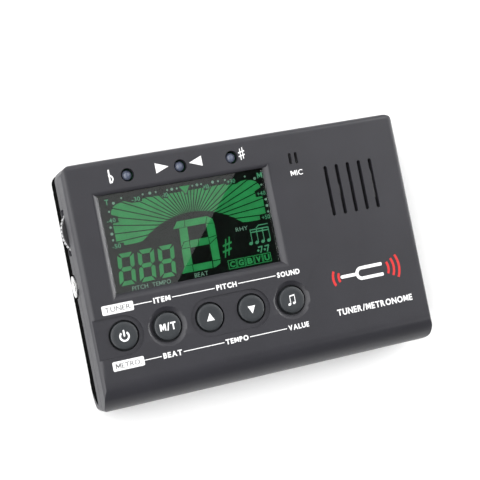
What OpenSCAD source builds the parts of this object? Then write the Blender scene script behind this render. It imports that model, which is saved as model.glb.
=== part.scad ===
// Desktop chromatic tuner and metronome: a flat case with a rounded nose, lying on its back.
// X runs to the right of the face, Y up the face, Z out of the face. The back rests on z = 0.

/* [Case] */
// Width of the case, side to side
body_w = 111; // [110:0.5:114]
// Height of the case, from the top edge to the tip of the nose
body_h = 75; // [74.4:0.2:77]
// Thickness of the case, from the back to the face
body_t = 20; // [20:0.1:21]
// Wall thickness of both shells
wall = 1.8; // [1.6:0.1:2]
// Radius of the nose, where the face rolls over at the bottom
nose_r = 9; // [8:0.5:9.5]
// Radius where the bottom meets the back
heel_r = 7; // [6:0.5:8]
// Radius of the two top corners, seen from the front
corner_r = 3.4; // [2.4:0.2:4]
// Radius of the two bottom corners, seen from the front
nose_corner_r = 1.6; // [0.8:0.2:2]
// Radius along the edges of the face
edge_r = 1.8; // [1.2:0.1:1.9]
// Height of the parting line above the back
seam_z = 12; // [11.9:0.1:12.1]
// Width of the groove along the parting line
seam_gap = 0.2; // [0.1:0.05:0.3]
// Height above the back at which the side walls begin to lean in
draft_z = 8.5; // [7:0.5:9]
// How far the side walls have leaned in at the back
draft = 0.2; // [0.1:0.05:0.4]
// Height above the back of the sunk band along the foot of the side walls
band_z = 7.6; // [7:0.1:7.8]
// How far the band is sunk into the wall
band_step = 0.3; // [0.2:0.05:0.4]
// Width of the rim between the tip of the nose and the end of the band
band_rim = 2.1; // [1.6:0.1:3]

/* [Display] */
// Width of the window opening where the liquid crystal shows
view_w = 53.8; // [50:0.2:53.8]
// Height of the window opening where the liquid crystal shows
view_h = 30.1; // [28.1:0.1:30.2]
// Width of the rolled edge at each side of the window
bevel_side = 2.1; // [1.9:0.05:2.2]
// Width of the rolled edge above the window
bevel_top = 1.25; // [1.1:0.05:1.3]
// Width of the rolled edge below the window
bevel_bottom = 2.1; // [1.9:0.05:2.2]
// Radius that the edge of the window is rolled to
bevel_r = 3.2; // [3.2:0.1:3.4]
// Centre of the window across the face
view_x = -18.8; // [-18.9:0.05:-18.6]
// Centre of the window up the face
view_y = 11.95; // [11.8:0.05:12]

/* [Keys] */
// Distance between neighbouring keys
key_pitch = 13.7; // [13.5:0.02:13.8]
// Place of the power key across the face
key_x = -46.15; // [-46.4:0.05:-46]
// Place of the row of keys up the face
key_y = -15.6; // [-15.8:0.1:-15.4]
// Radius of a key cap
cap_r = 4.15; // [4:0.05:4.2]
// Radius of the hole around a key cap
key_hole_r = 4.75; // [4.6:0.05:4.8]
// How far a key cap stands above the face
cap_proud = 0.15; // [0:0.05:0.4]
// Radius of the sunk ground around the keys
ground_r = 6.1; // [5.6:0.1:6.3]
// Depth of the sunk ground around the keys
ground_depth = 0.4; // [0.3:0.05:0.6]
// Depth of the dish around a single key
dish_depth = 0.85; // [0.6:0.05:1]

/* [Lamps] */
// Place of the flat lamp across the face
lamp_x = -35.55; // [-36:0.05:-35]
// Distance between neighbouring lamps
lamp_pitch = 16.9; // [16.5:0.1:17]
// Place of the row of lamps up the face
lamp_y = 31.75; // [31.6:0.05:31.9]
// Radius of a lamp's hole
lamp_hole_r = 2.05; // [1.95:0.05:2.2]
// Radius of a lamp's lens
lamp_r = 1.5; // [1.3:0.1:1.6]

/* [Sound] */
// Centre of the loudspeaker across the face
speaker_x = 36.45; // [36:0.05:36.5]
// Centre of the loudspeaker up the face
speaker_y = 15.9; // [15.5:0.1:16.2]
// Outer radius of the loudspeaker
speaker_r = 13.4; // [13:0.1:13.4]
// Distance between neighbouring speaker slots
slot_pitch = 3.94; // [3.8:0.02:4]
// Length of a speaker slot
slot_l = 16.2; // [15:0.2:17]
// Width of a speaker slot
slot_w = 1.2; // [0.9:0.05:1.3]
// Number of speaker slots
slot_count = 5; // [3:2:5]
// Centre of the microphone across the face
mic_x = 18.4; // [18:0.1:18.6]
// Centre of the microphone up the face
mic_y = 28.15; // [27.8:0.05:28.2]
// Radius of the microphone capsule
mic_r = 3; // [2.8:0.1:3]

/* [Volume wheel] */
// Radius of the thumbwheel
wheel_r = 9; // [8.8:0.1:9]
// Thickness of the thumbwheel
wheel_t = 2.8; // [2.5:0.1:2.8]
// How far the thumbwheel stands out of the side
wheel_proud = 1.5; // [1.2:0.1:1.6]
// Centre of the thumbwheel up the face
wheel_y = 18.2; // [18:0.1:18.4]
// Number of grooves round the thumbwheel
wheel_teeth = 44; // [30:2:50]

/* [Sockets] */
// Bore radius of the headphone socket
phones_bore_r = 1.8; // [1.78:0.01:1.85]
// Place of the headphone socket up the face
phones_y = 1.6; // [1.4:0.1:1.8]
// Height of the headphone socket above the back
phones_z = 8; // [7.9:0.1:8.1]
// Bore radius of the instrument socket
input_bore_r = 3.25; // [3.2:0.01:3.3]
// Place of the instrument socket up the face
input_y = -12; // [-12.2:0.1:-11.8]
// Height of the instrument socket above the back
input_z = 7.5; // [7.4:0.1:7.6]

/* [Stand] */
// Length of the tilt stand from its pin to its foot
stand_l = 24.2; // [22:0.2:24.2]
// Width of the tilt stand
stand_w = 27.8; // [24:0.2:27.8]
// Thickness of the tilt stand
stand_t = 1.9; // [1.6:0.1:1.9]
// Place of the stand's pin up the face
stand_y = 28.2; // [28.2:0.1:28.6]
// Height of the stand's pin above the back
stand_z = 1.9; // [1.8:0.05:1.95]
// Radius of the stand's pin
stand_pin_r = 0.75; // [0.7:0.05:0.8]

/* [Batteries] */
// Radius of one cell
cell_r = 5.25; // [5.1:0.05:5.25]
// Length of one cell
cell_l = 44.5; // [44:0.1:44.5]
// Distance between the two cells
cell_pitch = 10.8; // [10.7:0.05:10.8]
// Centre of the pair of cells up the face
cell_y = -17.6; // [-17.7:0.1:-17.5]
// Height of the cells' centres above the back
cell_z = 6.95; // [6.95:0.05:7]
// Half the inner length of the battery bay
bay_x = 26; // [26:0.1:26.2]
// Thickness of the battery door
door_t = 1.5; // [1.3:0.1:1.5]
// Half the width of the battery door
door_x = 28.2; // [28:0.1:28.4]
// Top edge of the battery door
door_y = -5.2; // [-5.3:0.1:-5.1]

/* [Hidden] */
$fn = 64;

eps = 0.01;
face_in = body_t - wall;
board_z = 13;
board_t = 1.2;
board_top = board_z + board_t;
left = -body_w / 2;
right = body_w / 2;
top = body_h / 2;
nose = -body_h / 2;

// Case screws: plan positions, shank, head and the boss that holds them
boss_at = [[-49.5, 31.6], [49.5, 31.6], [-48.5, -28.8], [48.5, -28.8]];
boss_r = 2.6;
screw_r = 1.1;
screw_head_r = 2.1;
screw_head_z = 2.4;
screw_tip_z = 15.5;
screw_seat = 1.4;

// Board screws and the posts of the front shell that they bite into
post_at = [[-39.4, -23.4], [34, -23.4], [14.4, 10], [-10.2, 32.5]];
post_r = 1.7;
board_screw_r = 0.85;
board_screw_l = 3.6;

// Key stack: cap flange, switch stem, switch housing
key_count = 5;
flange_r = 5.3;
flange_z = 16.75;
flange_t = 1.1;
cap_edge = 0.35;
stem_r = 1.5;
stem_z = 15;
switch_w = 6;
switch_h = 2;
switch_bore_r = 1.6;
ground_top = body_t + 1;

// Display stack
lens_over = 1.8;
lens_t = 1;
glass_w = 56.4;
glass_h = 33.2;
glass_z = 15.3;
glass_t = 1.7;
light_h = 28;
light_z = 14.3;
light_t = 0.9;
frame_wall = 0.9;
frame_gap = 0.15;
zebra_w = 1.8;

// Lamps
lamp_top = 19.3;
lamp_flange_r = 1.8;
lamp_flange_z = 14.6;
lamp_flange_t = 0.9;
lead_w = 0.45;

// Loudspeaker
ring_w = 1;
ring_gap = 0.3;
gasket_t = 0.5;
basket_lip = 1.5;
magnet_r = 7;
magnet_z = 11.4;
magnet_t = 2.4;
cone_t = 0.25;

// Microphone
mic_t = 2.6;
mic_z = 14.8;
mic_pin_x = 1.2;
boot_wall = 0.9;
mic_slot_pitch = 2.06;
mic_slot_l = 3.7;
mic_slot_w = 0.95;

// Thumbwheel
wheel_x = left - wheel_proud + wheel_r;
wheel_z = 8.6;
wheel_groove_r = 0.42;
wheel_slot_l = 14.4;
wheel_slot_gap = 0.5;
shaft_r = 1.5;
pot_r = 4.6;
pot_t = 1.1;

// Sockets
phones_nose_r = 3.4;
phones_nose_l = 5.6;
phones_proud = 0.5;
phones_body = [12.4, 7, 7];
phones_cavity_r = 2.3;
phones_hole_r = 3.8;
phones_leg_y = 2.4;
input_nose_r = 4.5;
input_nose_l = 6.4;
input_proud = 0.3;
input_body = [19.4, 13, 10.4];
input_cavity_r = 3.6;
input_hole_r = 4.8;
input_leg_y = 4;
jack_back = wall + 0.6;

// Tilt stand
stand_gap = 0.4;
barrel_r = 1.45;
pin_l = 33;
pin_gap = 0.05;
pocket_z = 2.6;
pocket_floor = 1.1;
barrel_pocket_z = 3.8;
barrel_pocket_h = 2.1;
ear_w = 3;
scoop_r = 2.9;

// Battery bay and door
bay_wall = 1;
bay_roof_z = 12.3;
bay_roof_t = 0.6;
bay_half = cell_pitch / 2 + cell_r + 0.15;
door_gap = 0.2;
tongue_w = 0.8;
tongue_z = 0.85;
groove_z = 0.65;
spring_turns = 4;
spring_wire_r = 0.3;
plate_t = 0.4;
nub_r = 1.9;
nub_l = 0.8;

key_names = ["key_power", "key_mode", "key_up", "key_down", "key_sound"];
stem_names = ["switch_stem_power", "switch_stem_mode", "switch_stem_up", "switch_stem_down",
    "switch_stem_sound"];
function key_at(i) = [key_x + i * key_pitch, key_y];
function lamp_at(i) = [lamp_x + i * lamp_pitch, lamp_y];

// ---- Plain shapes ----

module box(low, high) {
    translate(low) cube(high - low);
}

module round_rect(w, h, r) {
    square([w - 2 * r, h], center = true);
    square([w, h - 2 * r], center = true);
    for (sx = [-1, 1], sy = [-1, 1])
        translate([sx * (w / 2 - r), sy * (h / 2 - r)]) circle(r);
}

module slab(w, h, t, r) {
    linear_extrude(t) round_rect(w, h, r);
}

// A bar with half-round ends, standing along Y
module slot(w, l, t) {
    linear_extrude(t) {
        square([w, l - w], center = true);
        for (s = [-1, 1]) translate([0, s * (l - w) / 2]) circle(w / 2, $fn = 24);
    }
}

module ring(outer, inner, t) {
    difference() {
        cylinder(h = t, r = outer);
        translate([0, 0, -1]) cylinder(h = t + 2, r = inner);
    }
}

// Turns a solid that stands along Z so that it points along +X or -X
module along_x(sign = 1) {
    rotate([0, sign * 90, 0]) children();
}

// A point on the smooth curve through p1 and p2, with its neighbours p0 and p3
function curve_point(p0, p1, p2, p3, t) = 0.5 * (2 * p1 + (p2 - p0) * t
    + (2 * p0 - 5 * p1 + 4 * p2 - p3) * t * t + (3 * p1 - p0 - 3 * p2 + p3) * t * t * t);

function smooth_path(p, steps) = let(last = len(p) - 1) concat(
    [for (i = [0 : last - 1], k = [0 : steps - 1])
        curve_point(p[max(i - 1, 0)], p[i], p[i + 1], p[min(i + 2, last)], k / steps)], [p[last]]);

// A round wire swept along a smooth curve that never runs along Y
module wire(points, r, sides = 8, steps = 5) {
    path = smooth_path(points, steps);
    last = len(path) - 1;
    rings = [for (i = [0 : last])
        let(d = path[min(i + 1, last)] - path[max(i - 1, 0)], u = cross([0, 1, 0], d), a = u / norm(u),
            v = cross(d, a), b = v / norm(v))
        for (j = [0 : sides - 1])
            path[i] + r * (cos(360 * j / sides) * a + sin(360 * j / sides) * b)];
    walls = [for (i = [0 : last - 1], j = [0 : sides - 1]) [i * sides + j, (i + 1) * sides + j,
        (i + 1) * sides + (j + 1) % sides, i * sides + (j + 1) % sides]];
    first = [for (j = [0 : sides - 1]) j];
    end = [for (j = [0 : sides - 1]) last * sides + sides - 1 - j];
    polyhedron(rings, concat([first], walls, [end]), convexity = 6);
}

// ---- The outside of the case, shrunk by inset all round ----

module plan_outline(inset) {
    w = body_w - 2 * inset;
    rt = corner_r - min(inset, corner_r - 0.6);
    rb = nose_corner_r - min(inset, nose_corner_r - 0.4);
    y1 = top - inset;
    y0 = nose + inset;
    polygon([
        [-w / 2 + rb, y0], [w / 2 - rb, y0], [w / 2, y0 + rb], [w / 2, y1 - rt],
        [w / 2 - rt, y1], [-w / 2 + rt, y1], [-w / 2, y1 - rt], [-w / 2, y0 + rb]
    ]);
    for (s = [-1, 1]) {
        translate([s * (w / 2 - rt), y1 - rt]) circle(rt);
        translate([s * (w / 2 - rb), y0 + rb]) circle(rb);
    }
}

// Seen from the right: Y across, Z up
module side_outline(inset) {
    e = max(edge_r - inset, 0);
    z0 = inset;
    z1 = body_t - inset;
    y0 = nose + inset;
    y1 = top - inset;
    polygon([
        [nose + heel_r, z0], [y1 - draft, z0], [y1, draft_z], [y1, z1 - e], [y1 - e, z1],
        [nose + nose_r, z1], [y0, body_t - nose_r], [y0, heel_r]
    ]);
    translate([nose + nose_r, body_t - nose_r]) circle(nose_r - inset, $fn = 96);
    translate([nose + heel_r, heel_r]) circle(heel_r - inset);
    if (e > 0) translate([y1 - e, z1 - e]) circle(e);
}

// Seen from the bottom: X across, Z up
module end_outline(inset) {
    e = max(edge_r - inset, 0);
    z0 = inset;
    z1 = body_t - inset;
    x1 = body_w / 2 - inset;
    polygon([
        [-x1 + draft, z0], [x1 - draft, z0], [x1, draft_z], [x1, z1 - e],
        [x1 - e, z1], [-x1 + e, z1], [-x1, z1 - e], [-x1, draft_z]
    ]);
    if (e > 0) for (s = [-1, 1]) translate([s * (x1 - e), z1 - e]) circle(e);
}

module case_solid(inset = 0) {
    intersection() {
        translate([0, 0, -1]) linear_extrude(body_t + 2) plan_outline(inset);
        rotate([90, 0, 90]) translate([0, 0, -body_w]) linear_extrude(2 * body_w) side_outline(inset);
        rotate([90, 0, 0]) translate([0, 0, -body_h]) linear_extrude(2 * body_h) end_outline(inset);
    }
}

// Everything in the case between two heights
module case_layer(inset, z0, z1) {
    intersection() {
        case_solid(inset);
        box([-body_w, -body_h, z0], [body_w, body_h, z1]);
    }
}

// What is cut away for the sunk band, whose end is rounded like the nose
module sunk_band() {
    end_y = nose + band_rim + band_z;
    difference() {
        union() {
            box([-body_w, end_y, -1], [body_w, body_h, band_z]);
            intersection() {
                translate([-body_w, end_y, band_z]) along_x() cylinder(h = 2 * body_w, r = band_z);
                box([-body_w, nose, -1], [body_w, end_y, band_z]);
            }
        }
        translate([0, 0, -2]) linear_extrude(body_t) plan_outline(band_step);
    }
}

// ---- Front shell ----

// Half of the opening, seen from its end: a straight wall, then an edge rolled over to the face
module rolled_side(half, bevel) {
    crest = 0.06;
    middle = half + bevel + sqrt(pow(bevel_r, 2) - pow(bevel_r - crest, 2));
    difference() {
        translate([-half, face_in - 1]) square([half + middle, wall + 2]);
        translate([middle, body_t + crest - bevel_r]) circle(bevel_r, $fn = 96);
        translate([half, 0]) square([middle, body_t + crest - bevel_r]);
    }
}

module window_cut() {
    intersection() {
        translate([view_x, 0, 0]) rotate([90, 0, 0]) translate([0, 0, -body_h]) linear_extrude(2 * body_h) {
            rolled_side(view_w / 2, bevel_side);
            mirror([1, 0]) rolled_side(view_w / 2, bevel_side);
        }
        translate([0, view_y, 0]) rotate([90, 0, 90]) translate([0, 0, -body_w]) linear_extrude(2 * body_w) {
            rolled_side(view_h / 2, bevel_top);
            mirror([1, 0]) rolled_side(view_h / 2, bevel_bottom);
        }
    }
}

module key_grounds() {
    floor_z = body_t - ground_depth;
    p = key_at(0);
    translate([p.x, p.y, floor_z]) cylinder(h = 2, r = ground_r);
    box([left - 5, p.y - ground_r, floor_z], [p.x, p.y + ground_r, ground_top]);
    for (i = [2, 3]) translate([key_at(i).x, key_y, floor_z]) cylinder(h = 2, r = ground_r);
    box([key_at(2).x, key_y - ground_r, floor_z], [key_at(3).x, key_y + ground_r, ground_top]);
    slope = (ground_r - key_hole_r) / dish_depth;
    for (i = [1, 4]) translate([key_at(i).x, key_y, body_t - dish_depth])
        cylinder(h = 2 * dish_depth, r1 = key_hole_r, r2 = key_hole_r + 2 * slope * dish_depth);
}

module front_shell() color([0.25, 0.25, 0.26]) {
    difference() {
        union() {
            difference() {
                case_layer(0, seam_z + seam_gap / 2, body_t + 1);
                case_layer(wall, 0, face_in);
                case_layer(wall / 2 - 0.1, 0, seam_z + 1.1);
            }
            // screw bosses
            for (p = boss_at) intersection() {
                case_solid(0.6);
                translate([p.x, p.y, seam_z + seam_gap / 2])
                    cylinder(h = face_in - seam_z + 0.4, r = boss_r);
            }
            // posts for the board screws
            for (p = post_at) translate([p.x, p.y, board_top])
                cylinder(h = face_in - board_top + 0.2, r = post_r);
            // collar round the loudspeaker
            translate([speaker_x, speaker_y, 15])
                ring(speaker_r + ring_gap + ring_w, speaker_r + ring_gap, face_in - 15 + 0.2);
        }
        window_cut();
        key_grounds();
        for (i = [0 : key_count - 1]) translate([key_at(i).x, key_y, face_in - 1])
            cylinder(h = wall + 3, r = key_hole_r);
        for (i = [0 : 2]) translate([lamp_at(i).x, lamp_y, face_in - 1])
            cylinder(h = wall + 3, r = lamp_hole_r);
        for (i = [0 : slot_count - 1])
            translate([speaker_x + (i - (slot_count - 1) / 2) * slot_pitch, speaker_y, face_in - 1])
                slot(slot_w, slot_l, wall + 3);
        for (s = [-1, 1]) translate([mic_x + s * mic_slot_pitch / 2, mic_y, face_in - 1])
            slot(mic_slot_w, mic_slot_l, wall + 3);
        for (p = boss_at) translate([p.x, p.y, 0]) cylinder(h = screw_tip_z + 0.5, r = screw_r + 0.05);
        for (p = post_at) translate([p.x, p.y, 0])
            cylinder(h = board_z + board_screw_l + 0.3, r = board_screw_r + 0.05);
    }
}

// ---- Rear shell ----

// The pocket that the stand folds into
module stand_pocket(grow, floor_z, deep_z) {
    w = stand_w / 2 + stand_gap + grow;
    y0 = stand_y - stand_l - stand_gap - grow;
    y1 = stand_y + barrel_r + stand_gap + grow;
    box([-w, y0, -1], [w, y1, floor_z]);
    box([-w, stand_y - barrel_pocket_h - grow, -1], [w, y1, deep_z]);
}

module battery_bay_walls() {
    x1 = bay_x + bay_wall;
    y0 = cell_y - bay_half - bay_wall;
    y1 = cell_y + bay_half + bay_wall;
    difference() {
        box([-x1, y0, door_t + door_gap], [x1, y1, bay_roof_z + bay_roof_t]);
        box([-bay_x, y0 + bay_wall, -1], [bay_x, y1 - bay_wall, bay_roof_z]);
    }
}

// The way the door slides: its own outline, open towards the nose
module door_way() {
    g = door_gap;
    box([-door_x - g, nose - 5, -1], [door_x + g, door_y + g, door_t + g]);
    box([-door_x - tongue_w - g, nose - 5, groove_z], [door_x + tongue_w + g, door_y + g, door_t + g]);
}

module rear_shell() color([0.23, 0.23, 0.24]) {
    difference() {
        union() {
            difference() {
                case_layer(0, -1, seam_z - seam_gap / 2);
                case_layer(wall, 0, body_t);
            }
            // tongue that locates the front shell
            difference() {
                case_layer(wall / 2, seam_z - 1.5, seam_z + 1);
                case_layer(wall, 0, body_t);
            }
            // screw bosses
            for (p = boss_at) intersection() {
                case_solid(0.6);
                translate([p.x, p.y, 0.5]) cylinder(h = seam_z - seam_gap / 2 - 0.5, r = boss_r);
            }
            battery_bay_walls();
            // the shelf above the door, round the mouth of the bay
            intersection() {
                case_solid(wall / 2);
                box([-door_x - 3, nose, door_t + door_gap], [door_x + 3, door_y + 1, door_t + door_gap + 1]);
            }
            // the floor and walls of the stand's pocket, with an ear at each end of the pin
            intersection() {
                case_solid(0);
                union() {
                    stand_pocket(pocket_floor, pocket_z + pocket_floor, barrel_pocket_z + pocket_floor);
                    for (s = [-1, 1]) translate([s * (stand_w / 2 + stand_gap + ear_w / 2), stand_y, 0])
                        translate([-ear_w / 2, -2.5, 0]) cube([ear_w, 5, 4.4]);
                }
            }
        }
        sunk_band();
        door_way();
        // mouth of the battery bay
        box([-bay_x, cell_y - bay_half, -1], [bay_x, cell_y + bay_half, wall + 1]);
        stand_pocket(0, pocket_z, barrel_pocket_z);
        // bore of the stand's pin
        translate([-pin_l / 2, stand_y, stand_z]) along_x() cylinder(h = pin_l, r = stand_pin_r + pin_gap);
        // finger scoop at the stand's foot
        translate([0, stand_y - stand_l - stand_gap, -0.8]) sphere(scoop_r);
        // screw holes and their sunk heads
        for (p = boss_at) {
            translate([p.x, p.y, -1]) cylinder(h = body_t, r = screw_r + 0.15);
            translate([p.x, p.y, -1])
                cylinder(h = screw_head_z + screw_seat - 0.2, r = screw_head_r + 0.25);
        }
        // opening for the thumbwheel
        box([left - 2, wheel_y - wheel_slot_l / 2, wheel_z - wheel_slot_gap],
            [left + wall + 0.5, wheel_y + wheel_slot_l / 2, body_t]);
        // socket holes
        translate([left - 2, phones_y, phones_z]) along_x() cylinder(h = wall + 3, r = phones_hole_r);
        translate([right - wall - 1, input_y, input_z]) along_x() cylinder(h = wall + 3, r = input_hole_r);
    }
}

// ---- Battery door and tilt stand ----

module battery_door() color([0.22, 0.22, 0.23]) {
    difference() {
        union() {
            intersection() {
                case_solid(0);
                box([-door_x, nose - 1, 0], [door_x, door_y, door_t]);
            }
            for (s = [-1, 1]) translate([s * (door_x + tongue_w / 2 - 0.1), cell_y - 1, tongue_z])
                translate([-tongue_w / 2 - 0.1, -11, 0]) cube([tongue_w + 0.2, 22, door_t - tongue_z]);
        }
        // grip: a stack of shallow grooves and an arrow towards the nose
        for (i = [0 : 4]) box([-7, door_y - 5 - i * 1.6, -1], [7, door_y - 4.2 - i * 1.6, 0.4]);
        translate([0, door_y - 16, -1]) linear_extrude(1.4) polygon([[-3, 1.6], [3, 1.6], [0, -1.6]]);
    }
}

module tilt_stand() color([0.22, 0.22, 0.23]) {
    y0 = stand_y - stand_l;
    difference() {
        union() {
            box([-stand_w / 2, y0 + 2, 0.3], [stand_w / 2, stand_y, 0.3 + stand_t]);
            box([-stand_w / 2 + 2, y0, 0.3], [stand_w / 2 - 2, y0 + 3, 0.3 + stand_t]);
            for (s = [-1, 1]) translate([s * (stand_w / 2 - 2), y0 + 2, 0.3]) cylinder(h = stand_t, r = 2);
            translate([-stand_w / 2, stand_y, stand_z]) along_x() cylinder(h = stand_w, r = barrel_r);
        }
        translate([-stand_w, stand_y, stand_z]) along_x()
            cylinder(h = 2 * stand_w, r = stand_pin_r + pin_gap);
        // relief between the ribs on the inner side
        for (s = [-1, 1]) translate([s * 6.25, (y0 + stand_y) / 2, 1.4 + 2])
            cube([10.5, stand_l - 8, 4], center = true);
        // shallow grooves on the outer side
        for (i = [0 : 3]) box([-6, y0 + 2.2 + i * 1.6, -1], [6, y0 + 3 + i * 1.6, 0.6]);
    }
}

module stand_hinge_pin() color([0.75, 0.75, 0.77])
    translate([-pin_l / 2 + 0.1, stand_y, stand_z]) along_x() cylinder(h = pin_l - 0.2, r = stand_pin_r);

// ---- Display ----

module display_window() color([0.08, 0.1, 0.1, 0.5]) translate([view_x, view_y, 0]) {
    translate([0, 0, face_in - lens_t]) slab(view_w + 2 * lens_over, view_h + 2 * lens_over - 0.4, lens_t, 1);
    translate([0, 0, face_in - eps]) slab(view_w - 0.3, view_h - 0.3, 0.26, 0.3);
}

module lcd_panel() color([0.05, 0.3, 0.15]) translate([view_x, view_y, glass_z]) {
    // rear glass, with the front glass set back along one edge
    translate([-glass_w / 2, -glass_h / 2, 0]) cube([glass_w, glass_h, glass_t / 2]);
    translate([-glass_w / 2, -glass_h / 2 + 1.4, glass_t / 2]) cube([glass_w, glass_h - 1.4, glass_t / 2]);
}

module lcd_backlight() color([0.9, 0.95, 0.9]) {
    w = glass_w - 3;
    translate([view_x - w / 2, view_y - light_h / 2, light_z]) cube([w, light_h, light_t]);
    // the lamp that lights it from its right-hand edge
    translate([view_x + w / 2 - 0.2, view_y - 3, light_z]) cube([1.2, 6, light_t]);
}

module lcd_frame() color([0.85, 0.85, 0.83]) translate([view_x, view_y, 0]) {
    w = glass_w + 2 * frame_gap;
    h = glass_h + 2 * frame_gap;
    z1 = glass_z + glass_t + 0.1;
    difference() {
        translate([0, 0, board_top]) slab(w + 2 * frame_wall, h + 2 * frame_wall, z1 - board_top, 0.8);
        translate([-w / 2, -h / 2, board_top - 1]) cube([w, h, 6]);
    }
    // pegs into the board
    for (sx = [-1, 1], sy = [-1, 1])
        translate([sx * (w / 2 + frame_wall / 2), sy * (h / 2 - 3), board_top - 1.1])
            cylinder(h = 1.5, r = 0.4, $fn = 24);
}

module zebra_strips() color([0.3, 0.3, 0.32]) {
    for (s = [-1, 1]) translate([view_x - glass_w / 2 + 2, view_y + s * (glass_h / 2 - zebra_w / 2 - 0.1)
        - zebra_w / 2, board_top]) cube([glass_w - 4, zebra_w, glass_z - board_top]);
}

// ---- Circuit board ----

module main_board() color([0.1, 0.4, 0.2]) {
    difference() {
        linear_extrude(board_t) polygon([
            [-52.4, -26], [52.4, -26], [52.4, 0.8], [22.4, 0.8], [22.4, 32.4], [20.4, 34.4],
            [-46, 34.4], [-46, 28], [-52.4, 28]
        ]);
        for (p = boss_at) translate([p.x, p.y, -1]) cylinder(h = 4, r = boss_r + 0.5);
        for (p = post_at) translate([p.x, p.y, -1]) cylinder(h = 4, r = board_screw_r + 0.15);
        // holes for the display frame's pegs
        for (sx = [-1, 1], sy = [-1, 1])
            translate([view_x + sx * (glass_w / 2 + frame_gap + frame_wall / 2),
                view_y + sy * (glass_h / 2 + frame_gap - 3), -1]) cylinder(h = 4, r = 0.5, $fn = 24);
        // lead holes of the lamps and of the microphone
        for (i = [0 : 2], s = [-1, 1]) translate([lamp_at(i).x + s * 1.27, lamp_y, -1])
            cylinder(h = 4, r = 0.4, $fn = 24);
        for (s = [-1, 1]) translate([mic_x + s * mic_pin_x, mic_y, -1]) cylinder(h = 4, r = 0.4, $fn = 24);
        // slots for the legs of both sockets
        for (s = [-1, 1]) {
            translate([left + jack_back + phones_body.x - 2, phones_y + s * phones_leg_y, 1])
                cube([1.2, 0.8, 4], center = true);
            translate([right - jack_back - input_body.x + 3.6, input_y + s * input_leg_y, 1])
                cube([1.8, 0.9, 4], center = true);
        }
    }
}

module on_board() {
    translate([0, 0, board_z]) children();
}

// ---- Keys ----

module key_cap(i) color([0.28, 0.3, 0.31]) translate([key_at(i).x, key_y, 0]) {
    z_top = body_t + cap_proud;
    rotate_extrude() polygon([
        [0, flange_z], [flange_r, flange_z], [flange_r, flange_z + flange_t],
        [cap_r, flange_z + flange_t], [cap_r, z_top - cap_edge],
        [cap_r - cap_edge * 0.3, z_top - cap_edge * 0.3], [cap_r - cap_edge, z_top], [0, z_top - 0.1]
    ]);
}

module switch_stem(i) color([0.12, 0.12, 0.12])
    translate([key_at(i).x, key_y, stem_z]) cylinder(h = flange_z - stem_z, r = stem_r);

module switch_housings() color([0.6, 0.6, 0.62]) {
    for (i = [0 : key_count - 1]) translate([key_at(i).x, key_y, board_top]) difference() {
        translate([0, 0, 0]) slab(switch_w, switch_w, switch_h, 0.5);
        translate([0, 0, stem_z - 0.45 - board_top]) cylinder(h = 4, r = switch_bore_r);
    }
}

// ---- Lamps, microphone and loudspeaker ----

module lamp(i) color([0.45, 0.48, 0.55]) translate([lamp_at(i).x, lamp_y, 0]) {
    translate([0, 0, lamp_flange_z]) cylinder(h = lamp_flange_t, r = lamp_flange_r);
    translate([0, 0, lamp_flange_z]) cylinder(h = lamp_top - lamp_r * 0.45 - lamp_flange_z, r = lamp_r);
    translate([0, 0, lamp_top - lamp_r * 0.45]) intersection() {
        translate([0, 0, -lamp_r * 0.9]) sphere(lamp_r * 1.345);
        cylinder(h = 2, r = lamp_r);
    }
    for (s = [-1, 1]) translate([s * 1.27, 0, board_z - 0.6 + (lamp_flange_z - board_z + 0.6) / 2])
        cube([lead_w, lead_w, lamp_flange_z - board_z + 0.7], center = true);
}

module mic_capsule() color([0.75, 0.75, 0.77]) translate([mic_x, mic_y, mic_z]) {
    difference() {
        cylinder(h = mic_t, r = mic_r);
        translate([0, 0, mic_t - 0.3]) cylinder(h = 1, r = 1);
    }
    for (s = [-1, 1]) translate([s * mic_pin_x, 0, board_z - 0.6 - mic_z])
        cylinder(h = mic_z - board_z + 0.7, r = 0.22, $fn = 16);
}

module mic_boot() color([0.1, 0.1, 0.1]) translate([mic_x, mic_y, 0]) difference() {
    translate([0, 0, mic_z - 0.3]) cylinder(h = face_in - mic_z + 0.25, r = mic_r + boot_wall);
    translate([0, 0, mic_z]) cylinder(h = mic_t + 0.05, r = mic_r + 0.02);
    translate([0, 0, mic_z]) cylinder(h = 10, r = mic_r - 0.6);
    for (s = [-1, 1]) translate([s * mic_pin_x, 0, mic_z - 1]) cylinder(h = 2, r = 0.35, $fn = 16);
}

module speaker_gasket() color([0.1, 0.1, 0.1]) translate([speaker_x, speaker_y, face_in - gasket_t])
    ring(speaker_r, speaker_r - 2.2, gasket_t - 0.02);

module speaker_basket() color([0.6, 0.6, 0.62]) translate([speaker_x, speaker_y, 0]) {
    z1 = face_in - gasket_t - 0.02;
    zm = magnet_z + magnet_t;
    difference() {
        rotate_extrude() polygon([
            [magnet_r - 2, zm], [magnet_r + 0.8, zm], [speaker_r - 1.4, z1 - basket_lip],
            [speaker_r, z1 - basket_lip + 0.6], [speaker_r, z1], [speaker_r - basket_lip, z1],
            [speaker_r - basket_lip, z1 - 0.8], [magnet_r + 0.4, zm + 0.6], [magnet_r - 2, zm + 0.6]
        ]);
        for (a = [45 : 90 : 315]) rotate(a) translate([magnet_r + 2.9, 0, zm - 1]) cylinder(h = 3, r = 1.4);
    }
}

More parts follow.
